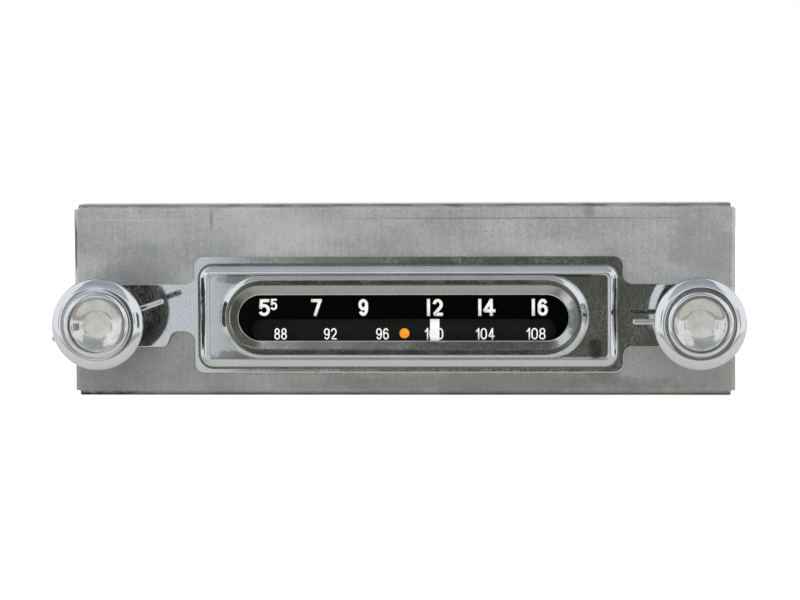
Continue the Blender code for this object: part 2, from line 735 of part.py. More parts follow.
def make_aerial_socket():
    outside = REAR_Y + CLEARANCE
    low, high = -REAR_Y - AERIAL_REACH, AERIAL_LENGTH - AERIAL_REACH - REAR_Y
    profile = [
        (0, high - AERIAL_FLANGE),
        (AERIAL_BORE, high - AERIAL_FLANGE),
        (AERIAL_BORE, low),
        (AERIAL_RADIUS, low),
        (AERIAL_RADIUS, -outside - AERIAL_FLANGE),
        (AERIAL_FLANGE_RADIUS, -outside - AERIAL_FLANGE),
        (AERIAL_FLANGE_RADIUS, -outside),
        (AERIAL_RADIUS, -outside),
        (AERIAL_RADIUS, high),
        (0, high),
    ]
    turned("aerial_socket", profile, (AERIAL_PLACE, 0, SHAFT_Z), "zinc_plate")


def make_power_socket():
    end = REAR_Y + POWER_REACH
    outline = rounded_rectangle(POWER_WIDTH, POWER_HEIGHT, POWER_CORNER, POWER_PLACE, SHAFT_Z, BEND_STEPS)
    socket = prism("power_socket", outline, end - POWER_LENGTH, end, "white_plastic")
    flange = rounded_rectangle(
        POWER_WIDTH + 2 * POWER_WALL, POWER_HEIGHT + 2 * POWER_WALL, POWER_CORNER, POWER_PLACE, SHAFT_Z,
        BEND_STEPS,
    )
    rim = REAR_Y + CLEARANCE
    join(socket, prism("power_flange", flange, rim, rim + POWER_WALL))
    width, height = POWER_WIDTH - 2 * POWER_WALL, POWER_HEIGHT - 2 * POWER_WALL
    floor = end - POWER_LENGTH + POWER_WALL
    low = (POWER_PLACE - width / 2, floor, SHAFT_Z - height / 2)
    high = (POWER_PLACE + width / 2, end + OVERRUN, SHAFT_Z + height / 2)
    cut(socket, block("power_cavity", low, high))
    for index in range(BLADE_COUNT):
        x = POWER_PLACE + (index - (BLADE_COUNT - 1) / 2) * BLADE_PITCH
        low = (x - BLADE_SIDE / 2, floor - POWER_WALL / 2, SHAFT_Z - BLADE_SIDE)
        high = (x + BLADE_SIDE / 2, floor + BLADE_LENGTH, SHAFT_Z + BLADE_SIDE)
        join(socket, block("power_blade_%d" % index, low, high))


def make_support_stud():
    inner, outer = CASE_SHEET + CLEARANCE, REAR_STUD_LENGTH
    stud = [
        (0, -REAR_Y - outer),
        (REAR_STUD_RADIUS, -REAR_Y - outer),
        (REAR_STUD_RADIUS, inner - REAR_Y),
        (REAR_STUD_RADIUS * STUD_HEAD_SHARE, inner - REAR_Y),
        (REAR_STUD_RADIUS * STUD_HEAD_SHARE, inner + STUD_HEAD - REAR_Y),
        (0, inner + STUD_HEAD - REAR_Y),
    ]
    turned("support_stud", stud, (STUD_PLACE, 0, SHAFT_Z), "zinc_plate")
    seat = REAR_Y + CLEARANCE
    make_nut("support_nut", STUD_PLACE, REAR_NUT_ACROSS, REAR_STUD_RADIUS, seat, seat + REAR_NUT_THICKNESS)


def make_nut(name, x, across_flats, bore, low_y, high_y):
    radius = across_flats / math.sqrt(3)
    points = [
        (x + radius * math.cos(math.tau * index / 6), SHAFT_Z + radius * math.sin(math.tau * index / 6))
        for index in range(6)
    ]
    nut = prism(name, points, low_y, high_y, "zinc_plate")
    hole = rod_profile(bore + CLEARANCE, -high_y - OVERRUN, OVERRUN - low_y)
    cut(nut, turned(name + "_cutter", hole, (x, 0, SHAFT_Z)))


# Bezel


def bead_loop(inset):
    corner = max(BEAD_CORNER - inset, BEAD_CORNER * LEAST_CORNER_SHARE)
    return rounded_rectangle(
        BEAD_WIDTH - 2 * inset, BEAD_HEIGHT - 2 * inset, corner, FLANGE_OFFSET, BEZEL_Z
    )


def lip_loop(inset):
    return stadium(LIP_WIDTH - 2 * inset, LIP_HEIGHT - 2 * inset, 0, WINDOW_Z)


def funnel_loop(share):
    outer_width, outer_height = LIP_WIDTH - 2 * LIP_BAND, LIP_HEIGHT - 2 * LIP_BAND
    width = outer_width + (WINDOW_WIDTH - outer_width) * share
    height = outer_height + (WINDOW_HEIGHT - outer_height) * share
    return stadium(width, height, 0, WINDOW_Z)


def bezel_loops():
    """The stamped rings from the bead's foot in to the window's edge, then back behind the sheet."""
    panel = EAR_FRONT + PANEL_RISE
    window = CLEARANCE + WINDOW_EDGE
    sunk = BEZEL_SHEET * SUNK_SHARE
    foot_back, foot_front = CLEARANCE + sunk, EAR_FRONT - sunk
    behind = panel - BEZEL_SHEET
    loops = [(bead_loop(-BEZEL_SHEET), foot_back), (bead_loop(-BEZEL_SHEET), foot_front)]
    loops.append((bead_loop(0), foot_front))
    for step in range(1, BEAD_STEPS):
        turn = math.pi * step / BEAD_STEPS
        inset = BEAD_BAND / 2 * (1 - math.cos(turn))
        base = EAR_FRONT + PANEL_RISE * step / BEAD_STEPS
        loops.append((bead_loop(inset), base + BEAD_RISE * math.sin(turn)))
    loops.append((bead_loop(BEAD_BAND), panel))
    loops += [(lip_loop(LIP_BAND * inset), panel + LIP_RISE * rise) for inset, rise in LIP_SHARES]
    top = panel + LIP_RISE * LIP_SHARES[-1][1]
    loops += [(funnel_loop(inset), window + (top - window) * rise) for inset, rise in FUNNEL_SHARES]
    loops += [(funnel_loop(inset), CLEARANCE) for inset in BACK_SHARES]
    loops += [(lip_loop(LIP_BAND), behind), (bead_loop(BEAD_BAND), behind)]
    loops.append((bead_loop(BEAD_BAND / 2), foot_back))
    return loops


def make_bezel():
    ear = EAR_HEIGHT / 2
    end = SHAFT_X + ear
    round_end = ear * (1 - FACET_SHARE)
    left, right = FLANGE_OFFSET - FLANGE_WIDTH / 2, FLANGE_OFFSET + FLANGE_WIDTH / 2
    top = FLANGE_HEIGHT / 2
    notch = NOTCH_DEPTH - ear
    corners = [
        (-end, ear, round_end),
        (left, ear, EAR_FILLET),
        (left, top, FLANGE_CORNER),
        (right, top, FLANGE_CORNER),
        (right, ear, EAR_FILLET),
        (end, ear, round_end),
        (end, -ear, round_end),
        (right, -ear, EAR_FILLET),
        (right, -top, FLANGE_CORNER),
        (left, -top, FLANGE_CORNER),
        (left, notch, NOTCH_CORNER),
        (left - NOTCH_WIDTH, notch, NOTCH_CORNER),
        (left - NOTCH_WIDTH - NOTCH_SPREAD, -ear, NOTCH_CORNER),
        (-end, -ear, round_end),
    ]
    outline = rounded_outline([(x, z + BEZEL_Z, radius) for x, z, radius in corners])
    bezel = prism("bezel", outline, at_height(CLEARANCE), at_height(EAR_FRONT), "chrome")
    low, high = at_height(EAR_FRONT + OVERRUN), at_height(CLEARANCE - OVERRUN)
    cut(bezel, prism("bezel_cutter", bead_loop(-BEZEL_SHEET / 2), low, high))
    rings = bmesh.new()
    loops = [
        [rings.verts.new((x, at_height(height), z)) for x, z in outline]
        for outline, height in bezel_loops()
    ]
    skin(rings, loops, closed=True)
    join(bezel, add_object("bezel_rings", rings))
    hole = rod_profile(BUSHING_RADIUS + CLEARANCE, CLEARANCE - OVERRUN, EAR_FRONT + OVERRUN)
    for side, name in SIDES:
        cut(bezel, turned("ear_cutter_" + name, hole, shaft_place(side)))


# Dial


def make_dial():
    lens = stadium(WINDOW_WIDTH + 2 * LENS_MARGIN, WINDOW_HEIGHT + 2 * LENS_MARGIN, 0, WINDOW_Z)
    prism("dial_lens", lens, at_height(0), at_height(-LENS_THICKNESS), "black_acrylic")
    width, height = WINDOW_WIDTH + 2 * MASK_MARGIN, WINDOW_HEIGHT + 2 * MASK_MARGIN
    mask = prism(
        "dial_mask", rounded_rectangle(width, height, SLOT_CORNER, 0, WINDOW_Z, BEND_STEPS),
        at_height(MASK_FRONT), at_height(MASK_BACK), "black_paint",
    )
    slot = rounded_rectangle(SLOT_WIDTH, SLOT_HEIGHT, SLOT_CORNER, 0, SLOT_Z)
    cut(mask, prism("slot_cutter", slot, at_height(MASK_FRONT + OVERRUN), at_height(MASK_BACK - OVERRUN)))

    front = at_height(MASK_BACK - BACKPLATE_DEPTH)
    back = front + BACKPLATE_SHEET
    lip = at_height(MASK_BACK - CLEARANCE)
    bottom, top = SLOT_Z - SLOT_HEIGHT / 2 - BACKPLATE_SHEET, WINDOW_Z + height / 2
    profile = [
        (back, bottom),
        (back, top),
        (lip, top),
        (lip, top - BACKPLATE_SHEET),
        (front, top - BACKPLATE_SHEET),
        (front, bottom),
    ]
    prism("dial_backplate", profile, -width / 2, width / 2, "black_paint", axis="X")


def make_pointer(axis):
    front = at_height(MASK_BACK - CLEARANCE)
    back = front + POINTER_SHEET
    foot_top = SLOT_Z - SLOT_HEIGHT / 2 - POINTER_TAIL
    tail = at_height(CARRIAGE_FRONT + CLEARANCE)
    top = SLOT_Z + SLOT_HEIGHT / 2
    profile = [
        (front, top),
        (back, top),
        (back, foot_top),
        (tail, foot_top),
        (tail, foot_top - POINTER_SHEET),
        (front, foot_top - POINTER_SHEET),
    ]
    low, high = POINTER_REST - POINTER_WIDTH / 2, POINTER_REST + POINTER_WIDTH / 2
    prism("pointer", profile, low, high, "white_paint", axis="X", parent=axis)

    back_y = at_height(CARRIAGE_FRONT - CARRIAGE_THICKNESS)
    carriage = block(
        "pointer_carriage",
        (POINTER_REST - CARRIAGE_WIDTH / 2, at_height(CARRIAGE_FRONT), RAIL_Z - CARRIAGE_HEIGHT / 2),
        (POINTER_REST + CARRIAGE_WIDTH / 2, back_y, RAIL_Z + CARRIAGE_HEIGHT / 2),
        "black_plastic", axis,
    )
    arm_back = back_y - CARRIAGE_THICKNESS * ARM_INSET_SHARE
    arm_front = arm_back - ARM_SHEET
    hook = SHAFT_Z + CORD_PITCH_RADIUS + CORD_RADIUS + CLEARANCE
    reach = at_height(CORD_HEIGHT - CORD_RADIUS - CLEARANCE)
    profile = [
        (arm_front, RAIL_Z),
        (arm_front, hook + ARM_SHEET),
        (reach, hook + ARM_SHEET),
        (reach, hook),
        (arm_back, hook),
        (arm_back, RAIL_Z),
    ]
    low, high = POINTER_REST - ARM_WIDTH / 2, POINTER_REST + ARM_WIDTH / 2
    join(carriage, prism("carriage_arm", profile, low, high, axis="X", parent=axis))
    reach = CARRIAGE_WIDTH / 2 + OVERRUN
    hole = rod_profile(RAIL_RADIUS + CLEARANCE, -reach, reach)
    place = (POINTER_REST, at_height(RAIL_HEIGHT), RAIL_Z)
    cutter = turned("rail_cutter", hole, place, parent=axis, axis="Z", turn=math.pi / 2)
    cut(carriage, cutter)


def wire(name, points, radius, finish, cyclic=False):
    """A round wire through the points, as a curve with filled caps."""
    curve = bpy.data.curves.new(name, "CURVE")
    curve.dimensions = "3D"
    curve.bevel_depth = radius
    curve.bevel_resolution = WIRE_RESOLUTION
    curve.use_fill_caps = True
    spline = curve.splines.new("POLY")
    spline.points.add(len(points) - 1)
    for point, place in zip(spline.points, points):
        point.co = (*place, 1)
    spline.use_cyclic_u = cyclic
    thing = bpy.data.objects.new(name, curve)
    bpy.context.scene.collection.objects.link(thing)
    curve.materials.append(finish_material(name, finish))
    return thing


def arc(centre_x, centre_y, radius, start, sweep, steps=CORNER_STEPS):
    turns = [start + sweep * step / steps for step in range(steps + 1)]
    return [(centre_x + radius * math.cos(turn), centre_y + radius * math.sin(turn)) for turn in turns]


def make_guide_rail():
    reach, y = RAIL_LENGTH / 2, at_height(RAIL_HEIGHT)
    seat = at_height(FACE_BACK - CLEARANCE)
    left = arc(RAIL_BEND - reach, y - RAIL_BEND, RAIL_BEND, math.pi, -math.pi / 2, BEND_STEPS)
    right = arc(reach - RAIL_BEND, y - RAIL_BEND, RAIL_BEND, math.pi / 2, -math.pi / 2, BEND_STEPS)
    path = [(-reach, seat)] + left + right + [(reach, seat)]
    wire("guide_rail", [(x, back, RAIL_Z) for x, back in path], RAIL_RADIUS, "zinc_plate")


def make_dial_cord():
    right = arc(SHAFT_X, SHAFT_Z, CORD_PITCH_RADIUS, -math.pi / 2, math.pi)
    left = arc(-PULLEY_REACH, SHAFT_Z, CORD_PITCH_RADIUS, math.pi / 2, math.pi)
    points = [(x, at_height(CORD_HEIGHT), z) for x, z in right + left]
    wire("dial_cord", points, CORD_RADIUS, "cord", cyclic=True)


def cord_wheel(name, bore, place, finish, parent):
    low, high = CORD_HEIGHT - SPOOL_WIDTH / 2, CORD_HEIGHT + SPOOL_WIDTH / 2
    cheek = SPOOL_WIDTH * CHEEK_SHARE
    groove = CORD_PITCH_RADIUS - CORD_RADIUS - CLEARANCE
    profile = [
        (bore, low),
        (SPOOL_RADIUS, low),
        (SPOOL_RADIUS, low + cheek),
        (groove, low + 2 * cheek),
        (groove, high - 2 * cheek),
        (SPOOL_RADIUS, high - cheek),
        (SPOOL_RADIUS, high),
        (bore, high),
    ]
    return turned(name, profile, place, finish, parent)


def make_idler(axis):
    place = (-PULLEY_REACH, FRONT_Y, SHAFT_Z)
    cord_wheel("idler_pulley", STUD_RADIUS + CLEARANCE, place, "black_plastic", axis)
    top = FACE_BACK - CLEARANCE
    seat = CORD_HEIGHT - SPOOL_WIDTH / 2 - CLEARANCE
    profile = [
        (0, seat - STUD_HEAD),
        (STUD_HEAD_RADIUS, seat - STUD_HEAD),
        (STUD_HEAD_RADIUS, seat),
        (STUD_RADIUS, seat),
        (STUD_RADIUS, top - STUD_HEAD),
        (STUD_HEAD_RADIUS, top - STUD_HEAD),
        (STUD_HEAD_RADIUS, top),
        (0, top),
    ]
    turned("pulley_stud", profile, place, "zinc_plate")


def make_lamp():
    place = (LAMP_PLACE, FRONT_Y, SHAFT_Z + LAMP_RISE)
    top = FACE_BACK - CLEARANCE
    bore = LAMP_RADIUS + CLEARANCE
    profile = [
        (0, top - HOLDER_FLANGE),
        (bore, top - HOLDER_FLANGE),
        (bore, top - HOLDER_LENGTH),
        (HOLDER_RADIUS, top - HOLDER_LENGTH),
        (HOLDER_RADIUS, top - HOLDER_FLANGE),
        (HOLDER_FLANGE_RADIUS, top - HOLDER_FLANGE),
        (HOLDER_FLANGE_RADIUS, top),
        (0, top),
    ]
    turned("lamp_holder", profile, place, "zinc_plate")
    base = top - HOLDER_FLANGE - CLEARANCE
    tip = base - LAMP_LENGTH
    bulb = [(0, base), (LAMP_RADIUS, base)][::-1]
    dome = [
        (LAMP_RADIUS * math.cos(turn), tip + LAMP_RADIUS * (1 - math.sin(turn)))
        for turn in (math.pi / 2 * step / CORNER_STEPS for step in range(CORNER_STEPS))
    ]
    turned("dial_lamp", [(0, tip)] + dome[::-1] + bulb, place, "glass")


# Controls


def make_bushing(name, side):
    top = FACE_BACK - CLEARANCE
    bore = SLEEVE_RADIUS + CLEARANCE
    profile = [
        (bore, top - BUSHING_FLANGE),
        (BUSHING_FLANGE_RADIUS, top - BUSHING_FLANGE),
        (BUSHING_FLANGE_RADIUS, top),
        (BUSHING_RADIUS, top),
        (BUSHING_RADIUS, BUSHING_HEIGHT),
        (bore, BUSHING_HEIGHT),
    ]
    turned(name + "_bushing", profile, shaft_place(side), "brass")
    low = EAR_FRONT + CLEARANCE
    high = low + WASHER_THICKNESS
    washer = tube_profile(BUSHING_RADIUS + CLEARANCE, WASHER_RADIUS, low, high)
    turned(name + "_washer", washer, shaft_place(side), "zinc_plate")
    seat = at_height(high + CLEARANCE)
    make_nut(name + "_nut", side * SHAFT_X, NUT_ACROSS_FLATS, BUSHING_RADIUS, seat - NUT_THICKNESS, seat)


def sleeve_control(name, side):
    """A control turned by the outer shaft, with the inner one passing through."""
    bore = SPINDLE_RADIUS + CLEARANCE
    floor = CONTROL_TOP - SOCKET_DEPTH - CLEARANCE
    profile = [
        (bore, CONTROL_TOP - CONTROL_LENGTH),
        (CONTROL_RADIUS, CONTROL_TOP - CONTROL_LENGTH),
        (CONTROL_RADIUS, CONTROL_TOP),
        (SLEEVE_RADIUS + CLEARANCE, CONTROL_TOP),
        (SLEEVE_RADIUS + CLEARANCE, floor),
        (bore, floor),
    ]
    control = turned(name, profile, shaft_place(side), "zinc_plate")
    add_lugs(control, side, CONTROL_TOP - CONTROL_LENGTH / 2)


def add_lugs(control, side, height):
    for index in range(LUG_COUNT):
        x = side * SHAFT_X + (index - (LUG_COUNT - 1) / 2) * LUG_PITCH
        bottom = SHAFT_Z - CONTROL_RADIUS - LUG_LENGTH
        root = SHAFT_Z - CONTROL_RADIUS * LUG_ROOT_SHARE
        low = (x - LUG_WIDTH / 2, at_height(height + LUG_SHEET / 2), bottom)
        high = (x + LUG_WIDTH / 2, at_height(height - LUG_SHEET / 2), root)
        join(control, block("%s_lug_%d" % (control.name, index), low, high))


def make_volume_control():
    top = CONTROL_TOP - CONTROL_LENGTH - CLEARANCE
    floor = top - SOCKET_DEPTH - CLEARANCE
    bore = SPINDLE_RADIUS + CLEARANCE
    profile = [
        (0, top - VOLUME_LENGTH),
        (CONTROL_RADIUS, top - VOLUME_LENGTH),
        (CONTROL_RADIUS, top),
        (bore, top),
        (bore, floor),
        (0, floor),
    ]
    control = turned("volume_control", profile, shaft_place(-1), "zinc_plate")
    add_lugs(control, -1, top - VOLUME_LENGTH / 2)


def rod_end(inner, reach):
    """A rod's profile from inner out to reach, with a round end."""
    tip = [
        (ROD_RADIUS * math.cos(turn), reach - ROD_RADIUS * (1 - math.sin(turn)))
        for turn in (math.pi / 2 * step / BEND_STEPS for step in range(BEND_STEPS))
    ]
    return [(0, inner), (ROD_RADIUS, inner)] + tip + [(0, reach)]


def make_lever(name, side, angle, stub, axis):
    """A sleeve shaft, the collar on it, the rod in the collar and, for a stub, a pin opposite."""
    place = shaft_place(side)
    top = EAR_FRONT + ROD_HEIGHT + COLLAR_LAND
    sleeve = tube_profile(
        SPINDLE_RADIUS + CLEARANCE, SLEEVE_RADIUS, CONTROL_TOP - SOCKET_DEPTH, top - CLEARANCE
    )
    turned(name + "_sleeve", sleeve, place, "brass", axis)
    ring = tube_profile(SLEEVE_RADIUS + CLEARANCE, COLLAR_RADIUS, top - COLLAR_LENGTH, top)
    collar = turned(name + "_collar", ring, place, "chrome", axis, ROUND_STEPS)
    middle = (side * SHAFT_X, at_height(EAR_FRONT + ROD_HEIGHT), SHAFT_Z)
    inner = SLEEVE_RADIUS + CLEARANCE
    turn = math.pi / 2 - angle
    hole = rod_profile(ROD_RADIUS + CLEARANCE, inner / 2, COLLAR_RADIUS + OVERRUN)
    cut(collar, turned(name + "_rod_cutter", hole, middle, None, axis, axis="Z", turn=turn))
    turned(name + "_rod", rod_end(inner, ROD_LONG), middle, "chrome", axis, axis="Z", turn=turn)
    if stub:
        pin = rod_end((inner + COLLAR_RADIUS) / 2, stub)
        opposite = turn + math.pi
        join(collar, turned(name + "_stub", pin, middle, None, axis, axis="Z", turn=opposite))


# Knobs


def knob_levels():
    """Heights of the knob's back, band crest, cap top and recess floor, and of the insert's top."""
    back = EAR_FRONT + ROD_HEIGHT + COLLAR_LAND + CLEARANCE
    crest = EAR_FRONT + KNOB_RIM_HEIGHT + KNOB_BAND_RISE
    top = crest + CAP_RISE
    insert_top = top - INSERT_SUNK
    reach = INSERT_RADIUS - INSERT_EDGE
    dip = INSERT_DISH_RADIUS - math.sqrt(INSERT_DISH_RADIUS**2 - reach**2)
    floor = insert_top - dip - INSERT_THICKNESS - CLEARANCE
    return back, crest, top, floor, insert_top


def make_knob(name, side, axis):
    place = shaft_place(side)
    back, crest, top, floor, insert_top = knob_levels()
    rim = EAR_FRONT + KNOB_RIM_HEIGHT
    bore = SPINDLE_RADIUS + CLEARANCE
    flare = KNOB_RADIUS - KNOB_BACK_RADIUS
    side_points = [
        (KNOB_BACK_RADIUS + flare * out, back + (rim - back) * up) for out, up in KNOB_SIDE_SHARES
    ]
    band = [
        (KNOB_RADIUS - KNOB_BAND * (1 - math.cos(turn)), rim + KNOB_BAND_RISE * math.sin(turn))
        for turn in (math.pi / 2 * step / BAND_STEPS for step in range(1, BAND_STEPS + 1))
    ]
    groove = crest - KNOB_GROOVE
    cap = [
        (CAP_RADIUS - CAP_ROUND * (1 - math.cos(turn)), top - CAP_ROUND * (1 - math.sin(turn)))
        for turn in (math.pi / 2 * step / BEND_STEPS for step in range(BEND_STEPS + 1))
    ]
    foot = (KNOB_RADIUS - KNOB_BAND + CAP_RADIUS) / 2
    wall = INSERT_RADIUS + CLEARANCE
    profile = [(bore, back)] + side_points + band + [(foot, groove), (CAP_RADIUS, groove)] + cap
    profile += [(wall, top), (wall, floor), (bore, floor)]
    knob = turned(name + "_knob", profile, place, "chrome", axis, ROUND_STEPS)
    middle = (place[0], at_height((back + floor) / 2), place[2])
    hole = rod_profile(SCREW_RADIUS + CLEARANCE, -KNOB_RADIUS - OVERRUN, -SPINDLE_RADIUS / 2)
    cut(knob, turned(name + "_screw_cutter", hole, middle, None, axis, axis="Z"))

    inner = -bore
    outer = inner - SCREW_LENGTH
    screw = [
        (0, outer + SCREW_SOCKET_DEPTH),
        (SCREW_SOCKET_RADIUS, outer + SCREW_SOCKET_DEPTH),
        (SCREW_SOCKET_RADIUS, outer),
        (SCREW_RADIUS, outer),
        (SCREW_RADIUS, inner),
        (0, inner),
    ]
    turned(name + "_set_screw", screw, middle, "zinc_plate", axis, axis="Z", steps=POST_STEPS)

    reach = INSERT_RADIUS - INSERT_EDGE
    turns = [math.asin(reach / INSERT_DISH_RADIUS) * step / BAND_STEPS for step in range(BAND_STEPS, 0, -1)]
    centre = insert_top + math.sqrt(INSERT_DISH_RADIUS**2 - reach**2)
    dish = [
        (INSERT_DISH_RADIUS * math.sin(turn), centre - INSERT_DISH_RADIUS * math.cos(turn))
        for turn in turns
    ]
    bottom = floor + CLEARANCE
    insert = [(0, bottom), (INSERT_RADIUS, bottom), (INSERT_RADIUS, insert_top)] + dish
    insert.append((0, centre - INSERT_DISH_RADIUS))
    turned(name + "_knob_insert", insert, place, "spun_aluminium", axis, ROUND_STEPS)


def make_spindles(volume_axis, tuning_axis):
    top = knob_levels()[3] - CLEARANCE
    volume_end = CONTROL_TOP - CONTROL_LENGTH - CLEARANCE - SOCKET_DEPTH
    profile = rod_profile(SPINDLE_RADIUS, volume_end, top)
    turned("volume_spindle", profile, shaft_place(-1), "zinc_plate", volume_axis)
    tuning_end = TUNER_FRONT - TUNER_LENGTH - TUNER_SHEET
    profile = rod_profile(SPINDLE_RADIUS, tuning_end, top)
    turned("tuning_spindle", profile, shaft_place(1), "zinc_plate", tuning_axis)
    bore = SPINDLE_RADIUS + CLEARANCE
    cord_wheel("tuning_spool", bore, shaft_place(1), "brass", tuning_axis)


# Tuner


def make_tuner(axis):
    right = CASE_WIDTH / 2 - CASE_SHEET - TUNER_SIDE_GAP
    left = TUNER_LEFT
    front, rear = at_height(TUNER_FRONT), at_height(TUNER_FRONT - TUNER_LENGTH)
    floor = CASE_SHEET + CLEARANCE
    top = floor + TUNER_HEIGHT
    inside = TUNER_SHEET
    profile = [
        (front, top),
        (front, floor),
        (rear, floor),
        (rear, top),
        (rear - inside, top),
        (rear - inside, floor + inside),
        (front + inside, floor + inside),
        (front + inside, top),
    ]
    frame = prism("tuner_frame", profile, left, right, "zinc_plate", axis="X")
    hole = rod_profile(SPINDLE_RADIUS + CLEARANCE, -rear - OVERRUN, OVERRUN - front)
    cut(frame, turned("frame_cutter", hole, (SHAFT_X, 0, SHAFT_Z)))

    bar_y = front + CROSSBAR_REST
    bar_left = COIL_PLACES[0] - COIL_RADIUS
    bar_low = (bar_left, bar_y - CROSSBAR_THICKNESS / 2, SHAFT_Z - CROSSBAR_HEIGHT / 2)
    bar_high = (SHAFT_X + CROSSBAR_END, bar_y + CROSSBAR_THICKNESS / 2, SHAFT_Z + CROSSBAR_HEIGHT / 2)
    bar = block("core_carriage", bar_low, bar_high, "black_plastic", axis)
    reach = CROSSBAR_THICKNESS / 2 + OVERRUN
    hole = rod_profile(SPINDLE_RADIUS + CLEARANCE, -reach, reach)
    cut(bar, turned("core_carriage_cutter", hole, (SHAFT_X, bar_y, SHAFT_Z), None, axis))

    can_low = CLEARANCE + inside - rear
    can_high = can_low + COIL_LENGTH
    bore = CORE_RADIUS + CLEARANCE
    can = [
        (0, can_low),
        (COIL_RADIUS, can_low),
        (COIL_RADIUS, can_high),
        (bore, can_high),
        (bore, can_low + TUNER_SHEET),
        (0, can_low + TUNER_SHEET),
    ]
    core_high = -bar_y - CROSSBAR_THICKNESS / 2 - CLEARANCE
    for index, x in enumerate(COIL_PLACES):
        turned("coil_can_%d" % (index + 1), can, (x, 0, SHAFT_Z), "aluminium")
        core = rod_profile(CORE_RADIUS, core_high - CORE_LENGTH, core_high)
        turned("tuning_core_%d" % (index + 1), core, (x, 0, SHAFT_Z), "ferrite", axis, POST_STEPS)


# Board


def make_board():
    front, back = at_height(BOARD_FRONT), at_height(BOARD_FRONT - BOARD_LENGTH)
    right = BOARD_LEFT + BOARD_WIDTH
    top = BOARD_FLOOR + BOARD_THICKNESS
    block("circuit_board", (BOARD_LEFT, front, BOARD_FLOOR), (right, back, top), "laminate")
    seat = top + CLEARANCE
    places = [
        (BOARD_LEFT + BOARD_WIDTH * across, front + BOARD_LENGTH * along)
        for across, along in (CAN_SHARES, CAPACITOR_SHARES, TRANSFORMER_SHARES)
    ]
    outline = rounded_rectangle(CAN_SIDE, CAN_SIDE, CAN_CORNER, *places[0], BEND_STEPS)
    prism("if_can", outline, seat, seat + CAN_HEIGHT, "aluminium", axis="Z")
    capacitor = [
        (0, seat),
        (CAPACITOR_RADIUS, seat),
        (CAPACITOR_RADIUS, seat + CAPACITOR_HEIGHT - CAPACITOR_ROUND),
        (CAPACITOR_RADIUS - CAPACITOR_ROUND, seat + CAPACITOR_HEIGHT),
        (0, seat + CAPACITOR_HEIGHT),
    ]
    turned("filter_capacitor", capacitor, (*places[1], 0), "blue_sleeve", axis="Z")

    x, y = places[2]
    half, stack = TRANSFORMER_SIDE / 2, TRANSFORMER_STACK / 2
    core = block(
        "output_transformer", (x - half, y - stack, seat), (x + half, y + stack, seat + TRANSFORMER_SIDE),
        "raw_steel",
    )
    winding = rounded_rectangle(
        TRANSFORMER_SIDE - TRANSFORMER_COIL, TRANSFORMER_STACK + 2 * TRANSFORMER_COIL, CAN_CORNER, x, y,
        BEND_STEPS,
    )
    low, high = seat + TRANSFORMER_COIL, seat + TRANSFORMER_SIDE - TRANSFORMER_COIL
    join(core, prism("transformer_winding", winding, low, high, axis="Z"))


def main():
    clear_scene()
    volume_axis = add_axis("volume_axis", -SHAFT_X, SHAFT_Z)
    tone_axis = add_axis("tone_axis", -SHAFT_X, SHAFT_Z)
    tuning_axis = add_axis("tuning_axis", SHAFT_X, SHAFT_Z)
    fader_axis = add_axis("fader_axis", SHAFT_X, SHAFT_Z)
    idler_axis = add_axis("idler_axis", -PULLEY_REACH, SHAFT_Z)
    pointer_axis = add_axis("pointer_axis", POINTER_REST, RAIL_Z)
    core_axis = add_axis("core_axis", SHAFT_X, SHAFT_Z)

    make_face_plate()
    make_case_shell()
    make_top_cover()
    make_rear_panel()
    make_cover_screws()
    make_heat_sink()
    make_aerial_socket()
    make_power_socket()
    make_support_stud()

    make_bezel()
    make_dial()
    make_pointer(pointer_axis)
    make_guide_rail()
    make_dial_cord()
    make_idler(idler_axis)
    make_lamp()

    for side, name in SIDES:
        make_bushing(name, side)
    sleeve_control("tone_control", -1)
    sleeve_control("fader_control", 1)
    make_volume_control()
    make_lever("tone", -1, TONE_ROD_ANGLE, TONE_ROD_SHORT, tone_axis)
    make_lever("fader", 1, FADER_ROD_ANGLE, 0, fader_axis)
    make_knob("volume", -1, volume_axis)
    make_knob("tuning", 1, tuning_axis)
    make_spindles(volume_axis, tuning_axis)

    make_tuner(core_axis)
    make_board()


main()
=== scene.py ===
# Looks of a car radio: a raw steel case, a chrome bezel, a printed dial and two chrome knobs.
# The frame is in metres, +Z up, and the front faces -Y. The dictionaries are in millimetres.
# A height is how far a point stands in front of the case's front face.
import math

import bmesh
import bpy
from mathutils import Matrix, Vector


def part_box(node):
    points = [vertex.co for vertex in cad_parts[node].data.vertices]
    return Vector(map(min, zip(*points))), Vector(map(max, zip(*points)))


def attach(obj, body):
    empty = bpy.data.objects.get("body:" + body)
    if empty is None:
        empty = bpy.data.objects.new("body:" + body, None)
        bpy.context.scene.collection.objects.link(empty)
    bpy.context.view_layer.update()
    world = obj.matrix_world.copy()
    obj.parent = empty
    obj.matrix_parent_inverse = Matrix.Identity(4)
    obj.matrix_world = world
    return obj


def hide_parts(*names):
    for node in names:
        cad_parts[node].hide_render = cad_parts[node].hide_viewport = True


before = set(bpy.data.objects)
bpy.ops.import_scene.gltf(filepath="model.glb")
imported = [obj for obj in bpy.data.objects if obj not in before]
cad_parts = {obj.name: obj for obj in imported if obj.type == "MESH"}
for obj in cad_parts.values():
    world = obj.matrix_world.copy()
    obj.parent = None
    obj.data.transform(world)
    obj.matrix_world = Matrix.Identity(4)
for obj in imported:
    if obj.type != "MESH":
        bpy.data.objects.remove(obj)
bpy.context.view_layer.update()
print("frame loaded:", len(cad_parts), "nodes")

mm = 0.001
tiny = 1e-7
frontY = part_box("face_plate")[0].y
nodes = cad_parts


def middle(node):
    low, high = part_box(node)
    return (low + high) / 2


